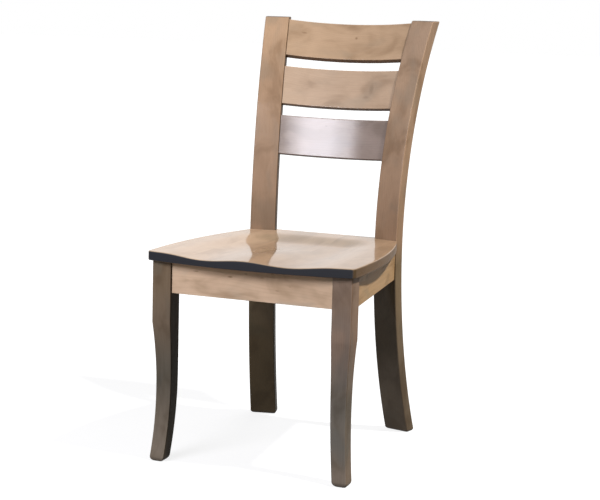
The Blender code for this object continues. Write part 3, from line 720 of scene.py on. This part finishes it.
# How much of its stain a mark takes
DEEP_SHARE = 0.45
COOL_SHARE = 0.55
RING_SHARE = 0.09
DARK_STREAK_SHARE = 0.13
BRIGHT_STREAK_SHARE = 0.12
FLECK_SHARE = 0.15

# Surface of the wood
LEAST_ROUGHNESS = 0.34
STREAK_ROUGHNESS = 0.16
END_GRAIN_ROUGHNESS = 0.18
STREAK_HEIGHT = 0.6
FLECK_DEPTH = 0.8
KNOT_SINK = 0.5
WOOD_RELIEF = {"Strength": 0.25, "Distance": 0.4 * MM}
BARE_SHEEN = 0.02
COAT_IOR = 1.55

# Staves of the seat, from left to right
STAVE_WIDTH = 62 * MM
STAVE_OFFSET = 11 * MM
STAVE_JUMP = (0, 0.37, 0.61)
STAVE_DARK = (0.93, 0.92, 0.91, 1)
STAVE_PALE = (1.26, 1.32, 1.42, 1)
PALE_STAVES_FROM = -150 * MM
PALE_STAVES_TO = -20 * MM

# Directions that a surface faces, and between which cosines it comes to face them
FRONTWARD = (0, -1, 0)
RIGHTWARD = (1, 0, 0)
LEFTWARD = (-1, 0, 0)
UPWARD = (0, 0, 1)
DOWNWARD = (0, 0, -1)
FACING = (0.5, 0.8)
FACING_ALONG_GRAIN = (0.6, 0.85)
# How far a face leans forward before it takes the scoop wall's painted shade
SCOOP_WALL_SHADE_FACING = (0.02, 0.14)
GRAIN_ORDER = {"X": "YZX", "Y": "ZXY", "Z": "XYZ"}


def maple_figure():
    """Mottling, bloom, growth rings, streaks and flecks of a maple board whose grain runs along Z."""
    tree, given, out = new_group("maple_figure", {"Place": "Vector"}, dict.fromkeys(FIGURE_MARKS, "Float"))
    place = given["Place"]
    off_heart = vector_calc(tree, "SUBTRACT", place, TREE_HEART)
    flat = vector_calc(tree, "MULTIPLY", off_heart, (1, 1, 0))
    reach = vector_calc(tree, "LENGTH", flat, result="Value")
    wander = calc(tree, "MULTIPLY", noise(tree, place, **RING_WANDER), RING_WANDER_REACH)
    turns = calc(tree, "DIVIDE", calc(tree, "ADD", reach, wander), RING_WIDTH)
    wave = calc(tree, "SINE", calc(tree, "MULTIPLY", turns, math.tau))
    marks = {
        "Mottle": noise(tree, place, **MOTTLE),
        "Bloom": noise(tree, vector_calc(tree, "ADD", place, BLOOM_SHIFT), **BLOOM),
        "Rings": spread(tree, wave, *RING_EDGE),
        "Streaks": noise(tree, place, **STREAKS),
        "Flecks": spread(tree, noise(tree, place, **FLECKS), *FLECK_EDGE),
    }
    feed(tree, out, marks)
    return tree


def pin_knot():
    """A small dark knot with a ragged edge."""
    given_kinds = {"Place": "Vector", "Centre": "Vector", "Size": "Vector"}
    tree, given, out = new_group("pin_knot", given_kinds, {"Knot": "Float"})
    ragged = add(tree, "ShaderNodeTexNoise", {"Vector": given["Place"], **KNOT_RAGGEDNESS}).outputs["Color"]
    wobble = vector_calc(tree, "SUBTRACT", ragged, (0.5,) * 3)
    wobble = vector_calc(tree, "MULTIPLY", wobble, (KNOT_WOBBLE,) * 3)
    moved = vector_calc(tree, "SUBTRACT", given["Place"], given["Centre"])
    moved = vector_calc(tree, "ADD", moved, wobble)
    reach = vector_calc(tree, "LENGTH", vector_calc(tree, "DIVIDE", moved, given["Size"]), result="Value")
    feed(tree, out, {"Knot": spread(tree, reach, *KNOT_EDGE)})
    return tree


def wiped_stain():
    """Colour, roughness and height of stained maple, from its figure, its arrises and its end grain."""
    numbers = (*FIGURE_MARKS, "Knots", "Arris", "Across Grain", "Figure", "Worn")
    given_kinds = {**dict.fromkeys((*STAINS, "Tone"), "Color"), **dict.fromkeys(numbers, "Float")}
    made_kinds = {"Color": "Color", "Roughness": "Float", "Height": "Float"}
    tree, given, out = new_group("wiped_stain", given_kinds, made_kinds)

    def marked(colour, mark, share, stain):
        """The colour after a mark of the figure took this share of a stain."""
        strength = calc(tree, "MULTIPLY", calc(tree, "MULTIPLY", mark, share), given["Figure"])
        return blend(tree, strength, colour, given[stain])

    colour = blend(tree, spread(tree, given["Mottle"], *PALE_MOTTLE), given["Body"], given["Pale"])
    colour = marked(colour, spread(tree, given["Mottle"], *DEEP_MOTTLE), DEEP_SHARE, "Deep")
    colour = marked(colour, spread(tree, given["Bloom"], *COOL_BLOOM), COOL_SHARE, "Cool")
    colour = marked(colour, given["Rings"], RING_SHARE, "Deep")
    colour = marked(colour, spread(tree, given["Streaks"], *DARK_STREAKS), DARK_STREAK_SHARE, "Deep")
    colour = marked(colour, spread(tree, given["Streaks"], *BRIGHT_STREAKS), BRIGHT_STREAK_SHARE, "Pale")
    colour = blend(tree, calc(tree, "MULTIPLY", given["Flecks"], FLECK_SHARE), colour, given["Deep"])
    colour = blend(tree, given["Knots"], colour, KNOT_TONE, "MULTIPLY")
    colour = blend(tree, calc(tree, "MULTIPLY", given["Arris"], given["Worn"]), colour, given["Pale"])
    # The tone holds each stave's own tone, and the painted light and shade of heights and faces
    colour = blend(tree, 1.0, colour, given["Tone"], "MULTIPLY")
    colour = blend(tree, given["Across Grain"], colour, given["End Grain"])
    rough = calc(tree, "ADD", LEAST_ROUGHNESS, calc(tree, "MULTIPLY", given["Streaks"], STREAK_ROUGHNESS))
    rough = calc(tree, "ADD", rough, calc(tree, "MULTIPLY", given["Across Grain"], END_GRAIN_ROUGHNESS))
    height = calc(tree, "MULTIPLY", given["Streaks"], STREAK_HEIGHT)
    height = calc(tree, "SUBTRACT", height, calc(tree, "MULTIPLY", given["Flecks"], FLECK_DEPTH))
    height = calc(tree, "SUBTRACT", height, calc(tree, "MULTIPLY", given["Knots"], KNOT_SINK))
    feed(tree, out, {"Color": colour, "Roughness": rough, "Height": height})
    return tree


FIGURE = maple_figure()
KNOT = pin_knot()
STAIN = wiped_stain()


def along_grain(tree, vector, axis):
    """The vector turned so that its Z runs along the grain."""
    parts = add(tree, "ShaderNodeSeparateXYZ", {"Vector": vector}).outputs
    turned = {key: parts[source] for key, source in zip("XYZ", GRAIN_ORDER[axis])}
    return add(tree, "ShaderNodeCombineXYZ", turned).outputs["Vector"]


def painted_shading_by_height(tree, height, steps):
    """Painted light and shade at a height. The steps are pairs of height and colour, from the floor up."""
    tone = (*steps[0][1], 1)
    for (low, _), (high, colour) in zip(steps, steps[1:]):
        tone = blend(tree, spread(tree, height, low, high), tone, (*colour, 1))
    return tone


def faces_towards(tree, normal, direction, limits):
    """1 where a surface faces this direction, 0 where it faces elsewhere."""
    lean = vector_calc(tree, "DOT_PRODUCT", normal, direction, result="Value")
    return spread(tree, lean, *limits)


def glued_staves(tree, place, sawn):
    """Shifts the figure from stave to stave of a glued-up panel, and gives each stave its own tone."""
    across = component(tree, place, "Y")
    stave = calc(tree, "FLOOR", calc(tree, "DIVIDE", calc(tree, "ADD", across, STAVE_OFFSET), STAVE_WIDTH))
    shift = vector_calc(tree, "MULTIPLY", stave, STAVE_JUMP)
    chance = add(tree, "ShaderNodeTexWhiteNoise", {"W": stave}, noise_dimensions="1D").outputs["Value"]
    paler = spread(tree, across, PALE_STAVES_TO, PALE_STAVES_FROM)
    tone = blend(tree, paler, blend(tree, chance, STAVE_DARK, WHITE), STAVE_PALE)
    return vector_calc(tree, "ADD", sawn, shift), tone


def knots_in(tree, place, knots):
    """1 in the middle of a full knot and 0 away from all of them."""
    mask = 0.0
    for along, up, length, height, strength in knots:
        spot = {"Place": place, "Centre": (0, up, along), "Size": (KNOT_DEPTH, height, length)}
        knot = calc(tree, "MULTIPLY", use_group(tree, KNOT, spot)["Knot"], strength)
        mask = calc(tree, "MAXIMUM", mask, knot)
    return mask


def wood(
    name, axis, cut, colours, figure=1.0, worn=0.3, coat=0.8, haze=0.09,
    polish=FRONTWARD, knots=(), painted_height_shading=(), faces=(), staves=False,
):
    """A board's finish, whose grain runs along the axis and whose cut is its place in the tree.

    A knot is along, up, length, height and strength. The height shading paints light and shade with height,
    and faces paint shade and light on the sides that look in a direction. The coat was polished on one side.
    """
    material, tree, shader = new_material(name)
    where = add(tree, "ShaderNodeTexCoord").outputs
    place = along_grain(tree, where["Object"], axis)
    sawn = vector_calc(tree, "ADD", place, cut)
    tone = WHITE
    if painted_height_shading:
        tone = painted_shading_by_height(tree, component(tree, where["Object"], "Z"), painted_height_shading)
    if staves:
        sawn, tone = glued_staves(tree, place, sawn)
    # Painted shade and painted light on the sides that look in each direction
    for direction, painted_face_light_and_shade, limits in faces:
        facing = faces_towards(tree, where["Normal"], direction, limits)
        tone = blend(tree, facing, tone, (*painted_face_light_and_shade, 1), "MULTIPLY")
    seen = use_group(tree, FIGURE, {"Place": sawn})
    lean = calc(tree, "ABSOLUTE", component(tree, along_grain(tree, where["Normal"], axis), "Z"))
    inputs = {
        **{mark: seen[mark] for mark in FIGURE_MARKS},
        **{stain: (*colour, 1) for stain, colour in zip(STAINS, colours)},
        "Tone": tone,
        "Knots": knots_in(tree, place, knots),
        "Arris": add(tree, "ShaderNodeAttribute", attribute_name="arris").outputs["Fac"],
        "Across Grain": spread(tree, lean, *FACING_ALONG_GRAIN),
        "Figure": figure,
        "Worn": worn,
    }
    stained_wood = use_group(tree, STAIN, inputs)
    bump = add(tree, "ShaderNodeBump", {**WOOD_RELIEF, "Height": stained_wood["Height"]})
    polished = faces_towards(tree, where["Normal"], polish, FACING)
    surface = {
        "Base Color": stained_wood["Color"],
        "Roughness": stained_wood["Roughness"],
        "Normal": bump.outputs["Normal"],
        "Specular IOR Level": BARE_SHEEN,
        "Coat Weight": calc(tree, "MULTIPLY", polished, coat),
        "Coat Roughness": haze,
        "Coat IOR": COAT_IOR,
    }
    feed(tree, shader, surface)
    return material


# Zinc plate

ZINC_BLOTCHES = {"stretch": (1, 1, 1), "scale": 900, "detail": 3, "roughness": 0.6}
ZINC_MARKS = {"stretch": (1, 1, 0.1), "scale": 6000, "detail": 2, "roughness": 0.5}
ZINC_DARK = (0.47, 0.49, 0.52, 1)
ZINC_PALE = (0.66, 0.67, 0.66, 1)
ZINC_PALE_BLOTCHES = (0.35, 0.65)
ZINC_DULL_BLOTCHES = (0.3, 0.7)
ZINC_ROUGHNESS = (0.28, 0.42)
ZINC_RELIEF = {"Strength": 0.2, "Distance": 0.1 * MM}


def zinc():
    """Bright zinc plate on a steel screw: faint blotches, fine turning marks and a soft sheen."""
    material, tree, shader = new_material("zinc_plated_steel")
    place = add(tree, "ShaderNodeTexCoord").outputs["Object"]
    blotches = noise(tree, place, **ZINC_BLOTCHES)
    bump = add(tree, "ShaderNodeBump", {**ZINC_RELIEF, "Height": noise(tree, place, **ZINC_MARKS)})
    surface = {
        "Base Color": blend(tree, spread(tree, blotches, *ZINC_PALE_BLOTCHES), ZINC_DARK, ZINC_PALE),
        "Roughness": spread(tree, blotches, *ZINC_DULL_BLOTCHES, *ZINC_ROUGHNESS),
        "Normal": bump.outputs["Normal"],
        "Metallic": 1.0,
    }
    feed(tree, shader, surface)
    return material


# Stains of the boards

PALE_STAIN = (1.18, 1.2, 1.24)
DEEP_STAIN = (0.62, 0.58, 0.54)
COOL_STAIN = (0.84, 0.94, 1.04)
STAINED_END_GRAIN = (0.13, 0.10, 0.08)


def stained(red, green, blue, end_grain=STAINED_END_GRAIN):
    """The pale, body, deep, cool and end-grain colours of a board whose body has this colour."""
    body = (red, green, blue)
    pale, deep, cool = (
        tuple(light * share for light, share in zip(body, stain))
        for stain in (PALE_STAIN, DEEP_STAIN, COOL_STAIN)
    )
    return pale, body, deep, cool, end_grain


# The slats' colours are their stains, and the lower slat is made darker as painted shade, as it leans back
# less towards the light above
SLAT_STAINS_AND_PAINTED_SHADE = (
    stained(0.378, 0.254, 0.157),
    stained(0.384, 0.265, 0.174),
    stained(0.215, 0.162, 0.135),
)
SLAT_COATS = (0.25, 0.75, 0.85)
# The seat's end grain, on its front and rear edges, is near-black and bluish: a painted dark reflection and
# shade
SEAT_STAIN_AND_PAINTED_EDGE = stained(0.31, 0.2, 0.117, (0.035, 0.036, 0.041))
POST_COLOURS = (stained(0.40, 0.262, 0.162), stained(0.342, 0.228, 0.147))
LEG_COLOURS = (stained(0.175, 0.125, 0.085), stained(0.224, 0.157, 0.118))
# The front apron's pale colour is partly its stain and partly painted light, standing in for front light
# under the seat's overhang
FRONT_APRON_STAIN_AND_PAINTED_LIGHT = stained(0.65, 0.462, 0.31)
SIDE_APRON_COLOURS = stained(0.415, 0.248, 0.112)
BLOCK_COLOURS = (
    (0.62, 0.47, 0.31),
    (0.55, 0.42, 0.28),
    (0.36, 0.25, 0.16),
    (0.50, 0.40, 0.28),
    (0.42, 0.30, 0.19),
)

# Painted light and shade as tones of faces: painted shade on the inner faces of posts and legs, the legs'
# outer faces, the slats' undersides, the seat's side edges and the scoop's rear wall, and painted light on
# the posts' outer faces
POST_INNER_PAINTED_SHADE = (0.28, 0.25, 0.21)
POST_OUTER_PAINTED_LIGHT = (1.28, 1.22, 1.15)
LEG_INNER_PAINTED_SHADE = (0.3, 0.28, 0.24)
LEG_OUTER_PAINTED_SHADE = (0.94, 0.85, 0.75)
SLAT_UNDER_PAINTED_SHADE = (0.4, 0.34, 0.3)
SEAT_EDGE_PAINTED_SHADE = (0.5, 0.47, 0.42)
SCOOP_WALL_PAINTED_SHADE = (0.76, 0.79, 0.78)
SLAT_PAINTED_SHADE_FACES = ((DOWNWARD, SLAT_UNDER_PAINTED_SHADE, FACING),)
SEAT_PAINTED_SHADE_FACES = (
    (RIGHTWARD, SEAT_EDGE_PAINTED_SHADE, FACING),
    (LEFTWARD, SEAT_EDGE_PAINTED_SHADE, FACING),
    (FRONTWARD, SCOOP_WALL_PAINTED_SHADE, SCOOP_WALL_SHADE_FACING),
)

# Knots and dark streaks: along the board, up, length, height and strength
FRONT_APRON_KNOTS = (
    (APRON_HALF - 0.047, 0.415, 0.009, 0.003, 1.0),
    (APRON_HALF - 0.125, 0.420, 0.010, 0.002, 0.8),
    (APRON_HALF - 0.011, 0.424, 0.005, 0.002, 0.7),
    (APRON_HALF + 0.025, 0.419, 0.008, 0.002, 0.8),
    (APRON_HALF + 0.047, 0.429, 0.006, 0.002, 0.7),
    (APRON_HALF + 0.087, 0.406, 0.006, 0.0018, 0.6),
    (APRON_HALF + 0.059, 0.395, 0.006, 0.0018, 0.5),
    (APRON_HALF - 0.073, 0.417, 0.060, 0.006, 0.32),
    (APRON_HALF + 0.021, 0.420, 0.026, 0.008, 0.2),
    (APRON_HALF + 0.098, 0.408, 0.034, 0.007, 0.3),
)
SLAT_KNOTS = (
    (
        (0.018, 0.010, 0.005, 0.005, 0.9),
        (-0.109, 0.015, 0.009, 0.003, 0.6),
        (0.011, 0.034, 0.03, 0.012, 0.5),
    ),
    (
        (0.077, 0.001, 0.008, 0.018, 0.4),
        (0.066, -0.018, 0.012, 0.006, 0.35),
    ),
    ((-0.022, 0.027, 0.005, 0.002, 0.8),),
)

# Painted light and shade with height on the left and right boards: pairs of height and tone. The posts are
# darker below the seat, in painted shade where the seat shades them, and paler higher up, in painted light
# where the back leans up towards the light
POST_PAINTED_LIGHT_AND_SHADE = (
    (
        (0.12, (0.22, 0.23, 0.18)),
        (SEAT_TOP - 0.05, (0.43, 0.46, 0.40)),
        (SEAT_TOP + 0.01, (0.56, 0.55, 0.55)),
        (0.63, (0.75, 0.75, 0.78)),
        (0.78, (0.80, 0.78, 0.77)),
        (0.90, (0.90, 0.89, 0.87)),
    ),
    (
        (0.12, (0.34, 0.38, 0.39)),
        (SEAT_TOP - 0.06, (0.49, 0.53, 0.48)),
        (SEAT_TOP + 0.01, (0.76, 0.74, 0.72)),
        (0.63, (0.88, 0.87, 0.86)),
        (0.78, (1, 1, 1)),
        (0.90, (0.87, 0.88, 0.90)),
    ),
)
# The legs' tones are painted light and shade along their curve, darker about the waist and lighter towards
# the top
LEG_PAINTED_LIGHT_AND_SHADE = (
    (
        (0.07, (1.08, 1.22, 1.33)),
        (0.20, (0.62, 0.72, 0.77)),
        (0.31, (0.92, 0.93, 0.90)),
        (0.40, (1.04, 1.02, 0.92)),
    ),
    (
        (0.02, (0.74, 0.83, 0.83)),
        (0.16, (0.66, 0.82, 0.88)),
        (0.31, (1, 0.98, 0.93)),
        (0.40, (1.20, 1.22, 1.18)),
    ),
)


# Dressed pieces


def dress(piece, material):
    """Gives a piece this material alone."""
    piece.data.materials.clear()
    piece.data.materials.append(material)


def painted_side_shading(side, inner_painted_shade, outer_painted_light_and_shade):
    """Painted shade and light on a board's faces towards and away from the chair's middle."""
    return ((-side, 0, 0), inner_painted_shade, FACING), ((side, 0, 0), outer_painted_light_and_shade, FACING)


for number, (label, side) in enumerate(SIDES):
    leg_finish = wood(
        f"{label}_leg_finish",
        axis="Z",
        cut=(0.31 * number, 0.2, 0.5),
        colours=LEG_COLOURS[number],
        figure=1.4,
        coat=0.1,
        painted_height_shading=LEG_PAINTED_LIGHT_AND_SHADE[number],
        faces=painted_side_shading(side, LEG_INNER_PAINTED_SHADE, LEG_OUTER_PAINTED_SHADE),
    )
    dress(make_front_leg(label, side), leg_finish)
    post_finish = wood(
        f"{label}_post_finish",
        axis="Z",
        cut=(1.3, 0.4 + 0.3 * number, 0.2),
        colours=POST_COLOURS[number],
        figure=1.2,
        coat=0.15,
        painted_height_shading=POST_PAINTED_LIGHT_AND_SHADE[number],
        faces=painted_side_shading(side, POST_INNER_PAINTED_SHADE, POST_OUTER_PAINTED_LIGHT),
    )
    dress(make_back_post(label, side), post_finish)
for number, name in enumerate(SLAT_NAMES):
    slat_finish = wood(
        f"{name}_finish",
        axis="X",
        cut=(0.5, 1.9 + 0.4 * number, 0.7),
        colours=SLAT_STAINS_AND_PAINTED_SHADE[number],
        coat=SLAT_COATS[number],
        haze=0.16,
        knots=SLAT_KNOTS[number],
        faces=SLAT_PAINTED_SHADE_FACES,
    )
    dress(make_slat(name, number), slat_finish)
for number, board in enumerate(make_cross_aprons() + make_side_aprons()):
    apron_finish = wood(
        f"{board.name}_finish",
        axis="X",
        cut=(2.1 + 0.3 * number, 0.9, 0.26),
        colours=SIDE_APRON_COLOURS if "side" in board.name else FRONT_APRON_STAIN_AND_PAINTED_LIGHT,
        figure=1.3,
        coat=0.0,
        knots=FRONT_APRON_KNOTS if "front" in board.name else (),
    )
    dress(board, apron_finish)
seat_finish = wood(
    "seat_finish",
    axis="Y",
    cut=(0.2, 0.6, 1.4),
    colours=SEAT_STAIN_AND_PAINTED_EDGE,
    figure=0.4,
    polish=UPWARD,
    faces=SEAT_PAINTED_SHADE_FACES,
    staves=True,
)
dress(make_seat(), seat_finish)
block_finish = wood(
    "bare_block_wood",
    axis="X",
    cut=(0.9, 0.2, 2.3),
    colours=BLOCK_COLOURS,
    worn=0.0,
    coat=0.0,
)
screw_finish = zinc()
for name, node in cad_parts.items():
    if "corner_block" in name:
        dress(node, block_finish)
    if "screw" in name:
        dress(node, screw_finish)


# Studio

CAMERA_PLACE = Vector((1.30718, FRONT - 3.00028, 0.98173))
CAMERA_YAW = math.radians(21.7715)
CAMERA_PITCH = math.radians(8.745)
CAMERA_ROLL = math.radians(1.5773)
LENS_MM = 97.0059
SENSOR_MM = 36.0

FLOOR_REACH = 30.0
FLOOR_GLOW = 0.82
FLOOR_PALE = (0.3, 0.3, 0.3, 1)
FLOOR_BOUNCE = (0.08, 0.08, 0.08, 1)
AMBIENT = 0.07
WINDOW_COLOUR = (0.93, 0.92, 1.0)
WINDOW_HEIGHT = 0.92
WINDOW_TARGET = Vector((0, FRONT + 0.47, 0.67))


def shown_background(tree):
    """1 for rays that see the background itself: from the camera, a reflection or through glass."""
    path = add(tree, "ShaderNodeLightPath").outputs
    seen = calc(tree, "MAXIMUM", path["Is Camera Ray"], path["Is Glossy Ray"])
    return calc(tree, "MAXIMUM", seen, path["Is Transmission Ray"])


def make_floor():
    """A floor that looks nearly white, keeps the chair's shadow, and sends little light back up."""
    mesh = bpy.data.meshes.new("floor")
    corners = [(x * FLOOR_REACH, y * FLOOR_REACH, 0) for x, y in ((-1, -1), (1, -1), (1, 1), (-1, 1))]
    mesh.from_pydata(corners, [], [(0, 1, 2, 3)])
    floor = bpy.data.objects.new("floor", mesh)
    bpy.context.scene.collection.objects.link(floor)
    material, tree, shader = new_material("pale_floor")
    tree.nodes.remove(shader)
    glow = add(tree, "ShaderNodeEmission", {"Color": WHITE, "Strength": FLOOR_GLOW}).outputs[0]
    lit = add(tree, "ShaderNodeBsdfDiffuse", {"Color": FLOOR_PALE}).outputs[0]
    seen = add(tree, "ShaderNodeAddShader", {0: glow, 1: lit}).outputs[0]
    bounce = add(tree, "ShaderNodeBsdfDiffuse", {"Color": FLOOR_BOUNCE}).outputs[0]
    mixed = add(tree, "ShaderNodeMixShader", {0: shown_background(tree), 1: bounce, 2: seen}).outputs[0]
    feed(tree, tree.nodes["Material Output"], {"Surface": mixed})
    mesh.materials.append(material)


def make_world():
    """A white backdrop that lights the chair only faintly."""
    world = bpy.data.worlds.new("studio")
    bpy.context.scene.world = world
    world.use_nodes = True
    tree = world.node_tree
    strength = spread(tree, shown_background(tree), 0.0, 1.0, AMBIENT, 1.0, smooth=False)
    feed(tree, tree.nodes["Background"], {"Color": WHITE, "Strength": strength})


def make_soft_sun(name, azimuth, elevation, width, strength, mirrored=True):
    """A distant soft lamp, in degrees. Azimuth 0 is in front of the chair and 90 to the viewer's right."""
    lamp = bpy.data.lights.new(name, "SUN")
    lamp.angle = math.radians(width)
    lamp.energy = strength
    obj = bpy.data.objects.new(name, lamp)
    obj.rotation_euler = Euler((math.radians(90 - elevation), 0, math.radians(azimuth)), "XYZ")
    obj.visible_glossy = mirrored
    bpy.context.scene.collection.objects.link(obj)


def make_softbox(name, place, width, power):
    """One pane of the window, aimed at the slats. Its place is across, ahead of the front legs, and up."""
    lamp = bpy.data.lights.new(name, "AREA")
    lamp.shape = "RECTANGLE"
    lamp.size = width
    lamp.size_y = WINDOW_HEIGHT
    lamp.energy = power
    lamp.color = WINDOW_COLOUR
    obj = bpy.data.objects.new(name, lamp)
    across, ahead, up = place
    obj.location = across, FRONT - ahead, up
    obj.rotation_euler = (WINDOW_TARGET - obj.location).to_track_quat("-Z", "Y").to_euler()
    bpy.context.scene.collection.objects.link(obj)


def make_camera():
    """The photograph's camera."""
    yaw, pitch, roll = CAMERA_YAW, CAMERA_PITCH, CAMERA_ROLL
    forward = Vector((-math.sin(yaw) * math.cos(pitch), math.cos(yaw) * math.cos(pitch), -math.sin(pitch)))
    level = Vector((math.cos(yaw), math.sin(yaw), 0))
    above = level.cross(forward)
    right = math.cos(roll) * level + math.sin(roll) * above
    up = -math.sin(roll) * level + math.cos(roll) * above
    turned = Matrix((right, up, -forward)).transposed().to_4x4()
    data = bpy.data.cameras.new("photograph")
    data.lens = LENS_MM
    data.sensor_width = SENSOR_MM
    camera = bpy.data.objects.new("photograph", data)
    camera.matrix_world = Matrix.Translation(CAMERA_PLACE) @ turned
    bpy.context.scene.collection.objects.link(camera)
    bpy.context.scene.camera = camera


make_floor()
make_world()
make_soft_sun("front_key", azimuth=-5, elevation=8, width=60, strength=0.5)
make_soft_sun("right_side", azimuth=82, elevation=58, width=4, strength=3.8)
make_softbox("window_near_edge", place=(-0.22, 2.12, 1.67), width=0.24, power=6)
make_softbox("low_window", place=(-0.675, 2.10, 1.68), width=0.69, power=33)
make_softbox("window_far_edge", place=(-1.235, 2.04, 1.70), width=0.44, power=13.5)
make_soft_sun("behind", azimuth=172, elevation=30, width=60, strength=0.8, mirrored=False)
make_camera()
bpy.context.scene.view_settings.view_transform = "Standard"
